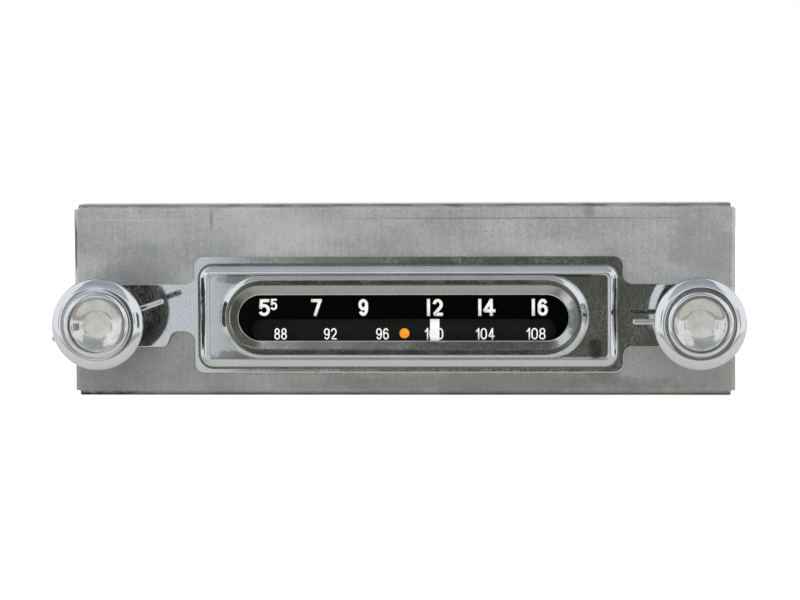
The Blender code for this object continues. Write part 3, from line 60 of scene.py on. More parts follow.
leftShaft = Vector((middle("left_bushing").x, frontY, middle("left_bushing").z))
rightShaft = Vector((middle("right_bushing").x, frontY, middle("right_bushing").z))
windowZ = middle("dial_lens").z
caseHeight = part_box("face_plate")[1].z


# ---- node and material helpers


def colour(hexCode):
    parts = [int(hexCode[i:i + 2], 16) / 255 for i in (0, 2, 4)]
    return (*[c / 12.92 if c <= 0.04045 else ((c + 0.055) / 1.055) ** 2.4 for c in parts], 1)


def addNode(tree, kind, inputs=None, **settings):
    made = tree.nodes.new("ShaderNode" + kind)
    for key, value in settings.items():
        setattr(made, key, value)
    for key, value in (inputs or {}).items():
        if isinstance(value, bpy.types.NodeSocket):
            tree.links.new(value, made.inputs[key])
        else:
            made.inputs[key].default_value = value
    return made


def startMaterial(name, **values):
    made = bpy.data.materials.new(name)
    made.use_nodes = True
    shader = made.node_tree.nodes["Principled BSDF"]
    for key, value in values.items():
        shader.inputs[key.replace("_", " ")].default_value = value
    return made, made.node_tree, shader


def objectNoise(tree, size, detail=3, rough=0.55, centre=(0, 0, 0)):
    # size is one repeat in millimetres along x, y and z
    place = addNode(tree, "TexCoord").outputs["Object"]
    scale = [1 / (s * mm) for s in size]
    turned = addNode(tree, "Mapping", {
        "Vector": place, "Scale": scale, "Location": [-c * s for c, s in zip(centre, scale)]})
    return addNode(tree, "TexNoise", {
        "Vector": turned.outputs[0], "Scale": 1, "Detail": detail, "Roughness": rough}).outputs[0]


def ramp(tree, value, low, high, toLow=0, toHigh=1, smooth=False):
    return addNode(tree, "MapRange", {
        "Value": value, "From Min": low, "From Max": high, "To Min": toLow, "To Max": toHigh},
        interpolation_type="SMOOTHSTEP" if smooth else "LINEAR").outputs[0]


def calc(tree, operation, a, b=0.0, c=0.0):
    return addNode(tree, "Math", {0: a, 1: b, 2: c}, operation=operation).outputs[0]


def mixColour(tree, factor, a, b, blend="MIX"):
    return addNode(tree, "Mix", {"Factor": factor, 6: a, 7: b}, data_type="RGBA", blend_type=blend).outputs[2]


def grainedMaterial(name, look):
    # two colours mixed by a stretched grain and a broad cloud, which also drive roughness and bump
    made, tree, shader = startMaterial(name, Metallic=look.get("metallic", 0.0))
    if "ior" in look:
        shader.inputs["IOR"].default_value = look["ior"]
    # a painted glow: the surface gives off light of its own colour
    if "glow" in look:
        shader.inputs["Emission Color"].default_value = colour(look["light"])
        shader.inputs["Emission Strength"].default_value = look["glow"]
    grain = objectNoise(tree, look["grain"], look.get("detail", 3))
    cloud = objectNoise(tree, look["cloud"], 4, 0.6)
    share = look.get("cloudShare", 0.5)
    both = calc(tree, "ADD", calc(tree, "MULTIPLY", grain, 1 - share), calc(tree, "MULTIPLY", cloud, share))
    spread = ramp(tree, both, *look.get("window", (0.35, 0.65)))
    tree.links.new(mixColour(tree, spread, colour(look["dark"]), colour(look["light"])), shader.inputs["Base Color"])
    low, high = look["roughness"]
    tree.links.new(ramp(tree, both, 0.3, 0.7, low, high), shader.inputs["Roughness"])
    bump = addNode(tree, "Bump", {"Height": grain, "Strength": look.get("strength", 0.3),
                                  "Distance": look.get("bump", 0.02) * mm})
    tree.links.new(bump.outputs[0], shader.inputs["Normal"])
    return made


looks = {
    # chrome plate made dark olive and blurred: painted shade standing in for the dark reflections on the bezel's steep
    # wall and the bead's outer foot
    "paintedShadeChrome": {"metallic": 0.9, "dark": "66665F", "light": "8E8E86", "grain": (0.5, 0.5, 0.5),
                    "cloud": (8, 8, 8), "roughness": (0.2, 0.36), "bump": 0.01},
    # chrome plate made dull and dark for the sides of the knobs and levers that face the case: painted shade
    "shadedBackChrome": {"metallic": 0.9, "dark": "32322F", "light": "4A4A46", "grain": (0.6, 0.6, 0.6),
                   "cloud": (5, 5, 5), "roughness": (0.3, 0.45), "bump": 0.01},
    # zinc plated mild steel: a bluish grey with soft crystals and roll marks along the sheet
    "zincPlate": {"metallic": 1.0, "dark": "A9ACAC", "light": "C6C8C6", "grain": (2.5, 9, 2.5),
                  "cloud": (9, 9, 9), "roughness": (0.28, 0.46), "bump": 0.01},
    # zinc plated turned steel: fine machining lines round it
    "platedSteel": {"metallic": 1.0, "dark": "AAB0B2", "light": "CDD0D0", "grain": (0.9, 0.3, 0.9),
                    "cloud": (5, 5, 5), "roughness": (0.2, 0.36), "bump": 0.006},
    # turned free-cutting brass, left bright: yellow with dull patches
    "turnedBrass": {"metallic": 1.0, "dark": "B08D4C", "light": "D2B36E", "grain": (1.2, 0.25, 1.2),
                    "cloud": (4, 4, 4), "roughness": (0.2, 0.38), "bump": 0.006},
    # extruded aluminium: pale, with die lines along the fins
    "extrudedAluminium": {"metallic": 1.0, "dark": "B9BCBE", "light": "D6D8D9", "grain": (0.35, 0.35, 18),
                          "cloud": (12, 12, 12), "roughness": (0.28, 0.42), "bump": 0.012},
    # deep drawn aluminium cans: soft satin
    "drawnAluminium": {"metallic": 1.0, "dark": "BCBEC0", "light": "D2D4D5", "grain": (0.6, 6, 0.6),
                       "cloud": (6, 6, 6), "roughness": (0.25, 0.4), "bump": 0.006},
    # matt black paint on the mask and the plate behind the dial
    "mattBlackPaint": {"dark": "0B0B0B", "light": "131312", "grain": (0.4, 0.4, 0.4), "cloud": (8, 8, 8),
                       "roughness": (0.55, 0.75), "bump": 0.01},
    # white enamel, baked on the pointer's blade: clean, with a painted glow of its own that stands in for the light
    # reaching it through the dial
    "whiteEnamel": {"dark": "FAFAF8", "light": "FFFFFE", "grain": (0.5, 0.5, 0.5), "cloud": (6, 6, 6),
                    "roughness": (0.3, 0.42), "bump": 0.003, "glow": 0.6},
    # white screen ink of the figures: flat, with a slightly uneven film
    "whiteInk": {"dark": "F4F4F1", "light": "FEFEFC", "grain": (0.4, 0.4, 0.4), "cloud": (6, 6, 6),
                 "roughness": (0.45, 0.6), "bump": 0.003},
    # moulded black nylon: faintly mottled
    "mouldedNylon": {"dark": "161616", "light": "222221", "grain": (0.5, 0.5, 0.5), "cloud": (5, 5, 5),
                     "roughness": (0.42, 0.58), "bump": 0.01, "ior": 1.53},
    # natural nylon of the power socket: milky white
    "naturalNylon": {"dark": "D9D5C8", "light": "E6E3D8", "grain": (0.8, 0.8, 0.8), "cloud": (7, 7, 7),
                     "roughness": (0.35, 0.5), "bump": 0.008, "ior": 1.53},
    # braided dial cord, waxed: short dark and light flecks along it
    "waxedCord": {"dark": "4A4034", "light": "7A6C55", "grain": (0.5, 0.25, 0.25), "cloud": (6, 6, 6),
                  "roughness": (0.6, 0.8), "bump": 0.06, "strength": 0.8, "cloudShare": 0.2},
    # phenolic paper board: brown and fibrous
    "phenolicPaper": {"dark": "8A5A2A", "light": "A8763D", "grain": (3, 0.6, 3), "cloud": (10, 10, 10),
                      "roughness": (0.4, 0.55), "bump": 0.01, "ior": 1.5},
    # sintered iron powder cores: dark grey and grainy
    "ironPowder": {"dark": "2A2A2B", "light": "454545", "grain": (0.4, 0.4, 0.4), "cloud": (3, 3, 3),
                   "roughness": (0.5, 0.7), "bump": 0.02, "metallic": 0.4},
    # shrunk PVC sleeve of the capacitor: blue with a soft sheen
    "shrunkSleeve": {"dark": "1E3F86", "light": "28509C", "grain": (1, 1, 1), "cloud": (6, 6, 6),
                     "roughness": (0.28, 0.4), "bump": 0.01, "ior": 1.52},
    # stamped steel laminations, with the waxed paper of the winding round them
    "laminations": {"metallic": 0.8, "dark": "5C5C5A", "light": "83827E", "grain": (30, 0.5, 30),
                    "cloud": (8, 8, 8), "roughness": (0.4, 0.6), "bump": 0.05, "strength": 0.7,
                    "cloudShare": 0.2},
}
finishes = {name: grainedMaterial(name, look) for name, look in looks.items()}


def paintStainsAndPaintedLight(tree, base, marks, ragged, height=9.0):
    # soft spots with ragged edges, on a face that looks forwards and stands no higher than height: stains, and painted
    # shade and reflections
    split = addNode(tree, "SeparateXYZ", {0: addNode(tree, "TexCoord").outputs["Object"]}).outputs
    level = ramp(tree, split["Y"], frontY - (height + 0.1) * mm, frontY - height * mm)
    edge = calc(tree, "MULTIPLY_ADD", ragged, 2.4, -1.2)
    for x, z, wide, high, tone, strength in marks:
        across = calc(tree, "DIVIDE", calc(tree, "SUBTRACT", split["X"], x * mm), wide * mm)
        up = calc(tree, "DIVIDE", calc(tree, "SUBTRACT", split["Z"], z * mm), high * mm)
        reach = calc(tree, "MULTIPLY_ADD", across, across, calc(tree, "MULTIPLY_ADD", up, up, edge))
        spot = calc(tree, "MULTIPLY", level, ramp(tree, reach, 0.2, 1.3, strength, 0, True))
        base = mixColour(tree, spot, base, colour(tone))
    return base


chromePaintedReflections = [
    # painted reflections, olive and dark, on the flat chrome panels round the window: x, z, half its width and height
    # in millimetres, its colour and how strong it is
    (-51.0, 35.7, 5.5, 1.8, "70706A", 0.6), (-51.5, 12.3, 6.5, 1.8, "74746D", 0.6),
    (57.8, 14.0, 2.2, 3.6, "3A3B37", 0.65), (52.0, 36.6, 9.0, 0.5, "1C1D1B", 0.7),
    (52.4, 23.2, 3.2, 6.8, "70746F", 0.75),
]


def makeChrome():
    # decorative chrome on stamped steel: a cool mirror, with a haze of fine pits that greys its dark parts
    made, tree, shader = startMaterial("chromePlate")
    pits = ramp(tree, objectNoise(tree, (0.5, 0.5, 0.5), 3, 0.6), 0.4, 0.64)
    cloud = objectNoise(tree, (9, 9, 9), 4, 0.6)
    haze = calc(tree, "MULTIPLY", pits, ramp(tree, cloud, 0.38, 0.66, 0.25, 1))
    base = mixColour(tree, cloud, colour("DDE0E2"), colour("E6E8EA"))
    ragged = objectNoise(tree, (2.2, 2.2, 2.2), 4, 0.7)
    # the spots painted on the flat panels are painted reflections of the dim room in front
    tree.links.new(paintStainsAndPaintedLight(tree, base, chromePaintedReflections, ragged, 2.1), shader.inputs["Base Color"])
    tree.links.new(ramp(tree, haze, 0, 1, 1, 0.86), shader.inputs["Metallic"])
    tree.links.new(ramp(tree, haze, 0, 1, 0.04, 0.16), shader.inputs["Roughness"])
    bump = addNode(tree, "Bump", {"Height": objectNoise(tree, (1.6, 1.6, 1.6)), "Strength": 0.25, "Distance": 0.004 * mm})
    tree.links.new(bump.outputs[0], shader.inputs["Normal"])
    return made


steelStainsAndShade = [
    # stains on the sheet, and a band of painted shade along its foot: x, z, half its width and height in millimetres,
    # the colour and how strong
    (-58.0, 53.5, 0.7, 4.0, "7C7062", 0.45), (55.8, 56.2, 2.4, 2.4, "7C7062", 0.4),  # brown runs
    (35.0, 53.6, 60.0, 0.25, "7A7A78", 0.55), (-82.0, 53.2, 16.0, 0.22, "E4E4E2", 0.5),  # scribed lines
    (-99.3, 46.0, 0.5, 9.0, "3A3A39", 0.75),  # chipped left edge
    (90.5, 46.0, 12.0, 9.0, "8A8A92", 0.3), (-80.0, 38.0, 11.0, 9.0, "8E9095", 0.25),  # bluish blotches
    # the dark band at z 3.6 along the foot is painted shade
    (-30.0, 51.0, 24.0, 4.5, "D8DADC", 0.3), (28.0, 3.6, 60.0, 3.4, "6F6F6C", 0.45),
    (-75.0, 50.5, 9.0, 5.0, "D8DADC", 0.3), (76.0, 8.0, 7.0, 3.0, "D2D2CF", 0.4), (60.0, 6.0, 6.0, 2.5, "747470", 0.4),
]


def makeRawSteel():
    # cold rolled steel, wiped and handled: a grey sheet with cloudy stains, fine grain and dark folds
    made, tree, shader = startMaterial("rawSteelSheet", Metallic=0.7)
    grain = objectNoise(tree, (0.7, 0.7, 0.7), 4, 0.75)
    brush = objectNoise(tree, (0.8, 0.8, 14), 3, 0.6)
    cloud = objectNoise(tree, (30, 30, 18), 6, 0.66)
    weights = ((grain, 0.38), (brush, 0.14), (cloud, 0.48))
    both = 0.0
    for part, share in weights:
        both = calc(tree, "MULTIPLY_ADD", part, share, both)
    base = mixColour(tree, ramp(tree, both, 0.4, 0.6), colour("ADAFB0"), colour("D8D8D6"))
    split = addNode(tree, "SeparateXYZ", {0: addNode(tree, "TexCoord").outputs["Object"]}).outputs
    base = paintStainsAndPaintedLight(tree, base, steelStainsAndShade, objectNoise(tree, (6, 6, 5), 6, 0.75))
    # painted shade: the sheet is darker towards its foot and along its folds, in patches along the folds
    shade = ramp(tree, split["Z"], 0.0, 0.034, 0.4, 0, True)
    base = mixColour(tree, shade, base, colour("6C6C6A"))
    fold = calc(tree, "MAXIMUM", ramp(tree, split["Z"], 0.0004, 0.0014, 1, 0), ramp(
        tree, split["Z"], caseHeight - 0.0014, caseHeight - 0.0006, 0, 1))
    foldShadePatches = ramp(tree, objectNoise(tree, (9, 2.2, 1.2), 4, 0.7), 0.42, 0.62, 0.35, 0.75)
    fold = calc(tree, "MULTIPLY", fold, ramp(tree, split["Y"], frontY + 0.001, frontY + 0.003, 1, 0))
    base = mixColour(tree, calc(tree, "MULTIPLY", fold, foldShadePatches), base, colour("4A4A48"))
    # black handling smudges near the left end of the bottom fold
    leftPart = ramp(tree, split["X"], -0.084, -0.076, 1, 0)
    dirt = calc(tree, "MULTIPLY", leftPart, ramp(tree, split["Z"], 0.0006, 0.0016, 1, 0))
    dirt = calc(tree, "MULTIPLY", dirt, ramp(tree, objectNoise(tree, (1.5, 1.5, 1.0), 3, 0.6), 0.5, 0.58))
    base = mixColour(tree, calc(tree, "MULTIPLY", dirt, 0.8), base, colour("2B2A29"))
    tree.links.new(base, shader.inputs["Base Color"])
    tree.links.new(ramp(tree, both, 0.3, 0.7, 0.38, 0.52), shader.inputs["Roughness"])
    bump = addNode(tree, "Bump", {"Height": grain, "Strength": 0.3, "Distance": 0.02 * mm})
    tree.links.new(bump.outputs[0], shader.inputs["Normal"])
    return made


def makeSpunAluminium(name, centre):
    # spun and polished aluminium: a bright dish with fine rings, and a hazier disc in the middle
    made, tree, shader = startMaterial(name, Anisotropic=0.25)
    place = addNode(tree, "TexCoord").outputs["Object"]
    outwards = addNode(tree, "Mapping", {"Vector": place, "Location": (-centre.x, 0, -centre.z), "Scale": (1, 0, 1)})
    tangent = addNode(tree, "VectorTransform", {0: outwards.outputs[0]}, vector_type="VECTOR",
                      convert_from="OBJECT", convert_to="WORLD")
    tree.links.new(tangent.outputs[0], shader.inputs["Tangent"])
    radius = addNode(tree, "VectorMath", {0: outwards.outputs[0]}, operation="LENGTH").outputs["Value"]
    rings = addNode(tree, "TexNoise", {"W": calc(tree, "MULTIPLY", radius, 1 / (0.5 * mm)), "Scale": 1, "Detail": 2},
                    noise_dimensions="1D").outputs[0]
    haze = objectNoise(tree, (2.5, 2.5, 2.5), 4, 0.65)
    base = mixColour(tree, ramp(tree, haze, 0.35, 0.65), colour("CECDCA"), colour("E6E5E3"))
    base = mixColour(tree, ramp(tree, rings, 0.4, 0.7, 0, 0.3), base, colour("C2C1BE"))
    tree.links.new(base, shader.inputs["Base Color"])
    disc = ramp(tree, radius, 3.7 * mm, 4.3 * mm, 1, 0, True)
    tree.links.new(calc(tree, "MULTIPLY_ADD", disc, -0.35, 0.9), shader.inputs["Metallic"])
    film = ramp(tree, haze, 0.3, 0.7, 0.08, 0.15)
    tree.links.new(calc(tree, "MULTIPLY_ADD", disc, 0.3, film), shader.inputs["Roughness"])
    bump = addNode(tree, "Bump", {"Height": rings, "Strength": 0.2, "Distance": 0.004 * mm})
    tree.links.new(bump.outputs[0], shader.inputs["Normal"])
    return made


def makeBlackAcrylic():
    # cast acrylic printed black on its back: a deep gloss with a few fine specks of dust
    made, tree, shader = startMaterial("printedAcrylic", IOR=1.49, Specular_IOR_Level=0.08)
    specks = ramp(tree, objectNoise(tree, (0.8, 0.8, 0.8), 2), 0.72, 0.8)
    tree.links.new(mixColour(tree, specks, colour("030303"), colour("0A0A0A")), shader.inputs["Base Color"])
    tree.links.new(ramp(tree, objectNoise(tree, (9, 9, 9), 3), 0.3, 0.7, 0.02, 0.06), shader.inputs["Roughness"])
    return made


def makeClearAcrylic():
    # the same sheet where the print leaves a clear slot: nearly all of the light goes through it,
    # and a thin film of dust greys it a little
    made, tree, shader = startMaterial("clearAcrylic", IOR=1.49, Alpha=0.1, Specular_IOR_Level=0.3)
    tint = mixColour(tree, ramp(tree, objectNoise(tree, (12, 12, 12), 3), 0.3, 0.7), colour("161616"), colour("262624"))
    tree.links.new(tint, shader.inputs["Base Color"])
    tree.links.new(ramp(tree, objectNoise(tree, (7, 7, 7), 2), 0.3, 0.7, 0.02, 0.06), shader.inputs["Roughness"])
    return made


def makeLampGlass():
    # drawn soda glass of the dial lamp, with a faint wave from drawing
    made, tree, shader = startMaterial("lampGlass", IOR=1.5, Transmission_Weight=1.0, Roughness=0.02)
    wave = objectNoise(tree, (3, 3, 3), 2)
    tree.links.new(mixColour(tree, wave, colour("E8EDE8"), colour("F4F6F2")), shader.inputs["Base Color"])
    bump = addNode(tree, "Bump", {"Height": wave, "Strength": 0.3, "Distance": 0.05 * mm})
    tree.links.new(bump.outputs[0], shader.inputs["Normal"])
    return made


def makeAmberPaint():
    # translucent amber ink of the dial's pilot mark, a little uneven in tint
    made, tree, shader = startMaterial("amberInk", Roughness=0.35)
    tint = mixColour(tree, ramp(tree, objectNoise(tree, (0.9, 0.9, 0.9), 2), 0.35, 0.65), colour("E88A08"), colour("F7A11C"))
    tree.links.new(tint, shader.inputs["Base Color"])
    return made


finishes["chromePlate"] = makeChrome()
finishes["rawSteel"] = makeRawSteel()
finishes["printedAcrylic"] = makeBlackAcrylic()
finishes["clearAcrylic"] = makeClearAcrylic()
finishes["lampGlass"] = makeLampGlass()
finishes["amberInk"] = makeAmberPaint()
finishes["leftDish"] = makeSpunAluminium("spunAluminiumLeft", leftShaft)
finishes["rightDish"] = makeSpunAluminium("spunAluminiumRight", rightShaft)
print("materials made:", len(finishes))


# ---- mesh helpers


def addPiece(name, bm, finish, body, replaced=(), sharp=35, weighted=True):
    bmesh.ops.recalc_face_normals(bm, faces=bm.faces)
    mesh = bpy.data.meshes.new(name)
    bm.to_mesh(mesh)
    bm.free()
    piece = bpy.data.objects.new(name, mesh)
    bpy.context.scene.collection.objects.link(piece)
    for entry in [finish] if isinstance(finish, str) else finish:
        mesh.materials.append(finishes[entry])
    mesh.shade_smooth()
    mesh.set_sharp_from_angle(angle=math.radians(sharp))
    if weighted:
        normals = piece.modifiers.new("normals", "WEIGHTED_NORMAL")
        normals.keep_sharp = True
    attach(piece, body)
    if replaced:
        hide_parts(*replaced)
    return piece


def roundCorner(bm, vert, distance, segments=6):
    bmesh.ops.bevel(bm, geom=[vert], offset=distance, offset_type="OFFSET", segments=segments, profile=0.5,
                    affect="VERTICES", material=-1)


def turnProfile(points, steps=96, axis=(0, 1, 0)):
    # points are (radius, height, rounding), and the height runs to the front, or up for a vertical axis
    bm = bmesh.new()
    upright = axis[2] == 1
    verts = []
    for radius, height, _ in points:
        place = (radius * mm, 0, height * mm) if upright else (radius * mm, -height * mm, 0)
        verts.append(bm.verts.new(place))
    closed = not (points[0][0] == 0 and points[-1][0] == 0)
    for first, second in zip(verts, verts[1:] + (verts[:1] if closed else [])):
        bm.edges.new((first, second))
    for vert, (_, _, rounding) in zip(verts, points):
        if rounding:
            roundCorner(bm, vert, rounding * mm, 4)
    bmesh.ops.spin(bm, geom=bm.verts[:] + bm.edges[:], cent=(0, 0, 0), axis=axis, angle=math.tau,
                   steps=steps, use_merge=True)
    bmesh.ops.remove_doubles(bm, verts=bm.verts, dist=tiny)
    return bm


def turnedPiece(name, points, place, finish, body, replaced=(), steps=96, sharp=35, turn=None):
    bm = turnProfile(points, steps)
    if turn is not None:
        bmesh.ops.transform(bm, matrix=turn, verts=bm.verts)
    bmesh.ops.translate(bm, verts=bm.verts, vec=place)
    return addPiece(name, bm, finish, body, replaced, sharp)


def newEdges(bm, before):
    return [edge for edge in bm.edges if edge not in before]


def outlineFace(bm, corners, height, segments=10):
    # a flat face through corners (x, z, radius), each rounded, in front of the case's face
    verts = [bm.verts.new((x * mm, frontY - height * mm, z * mm)) for x, z, _ in corners]
    face = bm.faces.new(verts)
    for index, (x, z, radius) in enumerate(corners):
        here = Vector((x, z))
        one = (Vector(corners[index - 1][:2]) - here).normalized()
        two = (Vector(corners[(index + 1) % len(corners)][:2]) - here).normalized()
        if radius:
            roundCorner(bm, verts[index], radius / math.tan(one.angle(two) / 2) * mm, segments)
    return face


def outlineLoop(bm, corners, height, segments=10):
    before = set(bm.edges)
    known = set(bm.faces)
    outlineFace(bm, corners, height, segments)
    made = newEdges(bm, before)
    bmesh.ops.delete(bm, geom=[face for face in bm.faces if face not in known], context="FACES_ONLY")
    return made


def boxCorners(width, height, radius, x=0.0, z=0.0):
    spots = [(-1, 1), (1, 1), (1, -1), (-1, -1)]
    return [(x + a * width / 2, z + b * height / 2, radius) for a, b in spots]


def stadiumCorners(width, height, x=0.0, z=0.0):
    return boxCorners(width, height, height / 2 * 0.9995, x, z)


def circleLoop(bm, radius, x, z, height, steps=48):
    before = set(bm.edges)
    bmesh.ops.create_circle(bm, cap_ends=False, radius=radius * mm, segments=steps, matrix=Matrix.Translation(
        (x * mm, frontY - height * mm, z * mm)) @ Matrix.Rotation(math.pi / 2, 4, "X"))
    return newEdges(bm, before)


def fillBetween(bm, *loops):
    edges = [edge for loop in loops for edge in loop]
    made = bmesh.ops.triangle_fill(bm, use_beauty=True, edges=edges, normal=(0, -1, 0))["geom"]
    return [item for item in made if isinstance(item, bmesh.types.BMFace)]


def bridge(bm, one, two):
    # loops in one plane are filled between, because a bridge could cross over
    if abs(one[0].verts[0].co.y - two[0].verts[0].co.y) < tiny:
        return fillBetween(bm, one, two)
    return bmesh.ops.bridge_loops(bm, edges=one + two)["faces"]


def finerCopy(node, finish, body, bevel=0.15, sharp=35):
    # the CAD piece with its triangles merged and its edges broken, as a real edge is
    bm = bmesh.new()
    bm.from_mesh(nodes[node].data)
    bmesh.ops.remove_doubles(bm, verts=bm.verts, dist=2e-6)
    bmesh.ops.dissolve_limit(bm, angle_limit=math.radians(1), verts=bm.verts, edges=bm.edges)
    piece = addPiece(node + "Finished", bm, finish, body, (node,), sharp, weighted=False)
    if bevel:
        broken = piece.modifiers.new("brokenEdges", "BEVEL")
        broken.width = bevel * mm
        broken.segments = 2
        broken.limit_method = "ANGLE"
        broken.angle_limit = math.radians(sharp)
        broken.use_clamp_overlap = True
        broken.harden_normals = False
    normals = piece.modifiers.new("normals", "WEIGHTED_NORMAL")
    normals.keep_sharp = True
    return piece


# ---- camera, light and floor

camera = {
    "place": (0.0504, -0.7143, 0.0898),
    "lens": 98.82,
    "tilt": 2.62,  # degrees down
    "turn": 2.04,  # degrees to the left
    "roll": 0.257,
    "shift": (-0.1144, -0.1273),
}


def makeCamera():
    data = bpy.data.cameras.new("camera")
    data.lens = camera["lens"]
    data.shift_x, data.shift_y = camera["shift"]
    data.clip_start, data.clip_end = 0.01, 20
    holder = bpy.data.objects.new("camera", data)
    bpy.context.scene.collection.objects.link(holder)
    holder.location = camera["place"]
    holder.rotation_euler = [math.radians(turn) for turn in (90 - camera["tilt"], camera["roll"], camera["turn"])]
    bpy.context.scene.camera = holder


studio = {
    # what the chrome mirrors, each a colour with its edges in degrees: across runs from straight in front
    # to the right, and up is above the horizon. A patch fades in between its first two edges and out
    # between its last two.
    "wall": "F6F7F9",
    "patches": [
        {"tone": "D0D4D8", "across": (-32, -28, -9, -6), "up": (-18, -13, 20, 26)},  # paper screen on the left
        {"tone": "8B8D8B", "across": (-30, -26, -19, -15), "up": (-20, -12, 16, 22)},  # gap beside the screen
        {"tone": "ACB1B6", "across": (-46, -43, 33, 36), "up": (22, 25, 70, 78)},  # slate coloured ceiling
        {"tone": "999EA5", "across": (-46, -43, 33, 36), "up": (42, 46, 91, 92)},  # its farther part
        {"tone": "7E7F79", "across": (-9.6, -8.0, 18, 23), "up": (-22, -20, 19, 24)},  # dim room in front
        {"tone": "4C4D45", "across": (-8.0, -3.0, 12, 18), "up": (-19, -14, 18, 23)},  # its darkest part
        {"tone": "F6F7F9", "across": (-34, -30, 24, 28), "up": (16.5, 18, 22, 24)},  # white edge under the ceiling
        {"tone": "3E3F3B", "across": (28, 29, 33, 34.5), "up": (-6, -3, 6, 9)},  # lamp stands, left and right
        {"tone": "4A4B46", "across": (43, 45, 50, 52), "up": (-12, -8, 8, 12)},
        {"tone": "3E3F3B", "across": (-49, -48, -44, -43), "up": (-12, -8, 8, 12)},
    ],
    "ground": "A5A49D",
    "groundFrom": (-13, -20),
    # over and behind the radio, above the white background
    "overhead": "5F6265",
    "overheadFrom": (30, 40),
    "strength": 1.0,
}


def makeStudio():
    world = bpy.data.worlds.new("studio")
    bpy.context.scene.world = world
    world.use_nodes = True
    tree = world.node_tree
    tree.nodes.clear()
    split = addNode(tree, "SeparateXYZ", {0: addNode(tree, "TexCoord").outputs["Generated"]})
    x, y, z = split.outputs
    across = calc(tree, "MULTIPLY", calc(tree, "ARCTAN2", x, calc(tree, "MULTIPLY", y, -1)), 180 / math.pi)
    up = calc(tree, "MULTIPLY", calc(tree, "ARCSINE", z), 180 / math.pi)
    tone = mixColour(tree, ramp(tree, up, *studio["groundFrom"], smooth=True), colour(studio["wall"]),
                     colour(studio["ground"]))
    for patch in studio["patches"]:
        share = 1.0
        for angle, (a, b, c, d) in ((across, patch["across"]), (up, patch["up"])):
            share = calc(tree, "MULTIPLY", share, ramp(tree, angle, a, b, smooth=True))
            share = calc(tree, "MULTIPLY", share, ramp(tree, angle, c, d, 1, 0, smooth=True))
        tone = mixColour(tree, share, tone, colour(patch["tone"]))
    # the white background: all of it for the camera, and what lies behind the radio for metal and glass
    path = addNode(tree, "LightPath")
    mirrored = calc(tree, "MAXIMUM", path.outputs["Is Glossy Ray"], path.outputs["Is Transmission Ray"])
    behind = calc(tree, "MULTIPLY", mirrored, calc(tree, "GREATER_THAN", y, 0.0))
    high = ramp(tree, up, *studio["overheadFrom"], smooth=True)
    white = calc(tree, "MAXIMUM", path.outputs["Is Camera Ray"], behind)
    tone = mixColour(tree, white, tone, colour("FFFFFF"))
    tone = mixColour(tree, calc(tree, "MULTIPLY", behind, high), tone, colour(studio["overhead"]))
    background = addNode(tree, "Background", {"Color": tone, "Strength": studio["strength"]})
    tree.links.new(background.outputs[0], addNode(tree, "OutputWorld").inputs[0])


lamps = {
    # both light the paint and plastic, and the metal mirrors the studio instead of them
    "softboxAbove": {"place": (-0.28, -0.4, 1.3), "size": 0.7, "power": 5.0},
    "frontFill": {"place": (0.1, -1.5, 0.5), "size": 1.2, "power": 14.0},
}


def makeLamps():
    for name, lamp in lamps.items():
        data = bpy.data.lights.new(name, "AREA")
        data.shape = "SQUARE"
        data.size = lamp["size"]
        data.energy = lamp["power"]
        holder = bpy.data.objects.new(name, data)
        bpy.context.scene.collection.objects.link(holder)
        holder.location = lamp["place"]
        holder.visible_glossy = False
        aim = Vector((0, 0, caseHeight / 2)) - Vector(lamp["place"])
        holder.rotation_euler = aim.to_track_quat("-Z", "Y").to_euler()


# lift is how much white the floor adds for the camera, and glossLift for metal and glass
floor = {"left": -0.7, "right": 0.7, "front": -0.11, "back": 0.8, "lift": 0.75, "glossLift": 0.04}


def makeFloor():
    bm = bmesh.new()
    bmesh.ops.create_grid(bm, x_segments=1, y_segments=1, size=0.5)
    bmesh.ops.scale(bm, verts=bm.verts, vec=(floor["right"] - floor["left"], floor["back"] - floor["front"], 1))
    bmesh.ops.translate(bm, verts=bm.verts, vec=((floor["right"] + floor["left"]) / 2, (floor["back"] + floor["front"]) / 2, -0.0001))
    mesh = bpy.data.meshes.new("floor")
    bm.to_mesh(mesh)
    bm.free()
    # matt white paper
    made, tree, shader = startMaterial("whitePaper", Roughness=0.9, Specular_IOR_Level=0.1)
    fibre = objectNoise(tree, (4, 4, 4), 3)
    tree.links.new(mixColour(tree, fibre, colour("C7C5BF"), colour("CDCBC5")), shader.inputs["Base Color"])
    path = addNode(tree, "LightPath")
    mirrored = calc(tree, "MAXIMUM", path.outputs["Is Glossy Ray"], path.outputs["Is Transmission Ray"])
    shader.inputs["Emission Color"].default_value = colour("FFFEFC")
    tree.links.new(calc(tree, "ADD", calc(tree, "MULTIPLY", path.outputs["Is Camera Ray"], floor["lift"]),
                        calc(tree, "MULTIPLY", mirrored, floor["glossLift"])), shader.inputs["Emission Strength"])
    mesh.materials.append(made)
    thing = bpy.data.objects.new("floor", mesh)
    bpy.context.scene.collection.objects.link(thing)


makeCamera()
makeStudio()
makeLamps()
makeFloor()
print("camera, light and floor made")


# ---- case

facePlate = {
    "width": 200.0, "height": 57.9, "sheet": 1.2, "bend": 1.5, "flange": 10.0,
    "opening": (104.2, 17.8), "bushing": 5.05,
}


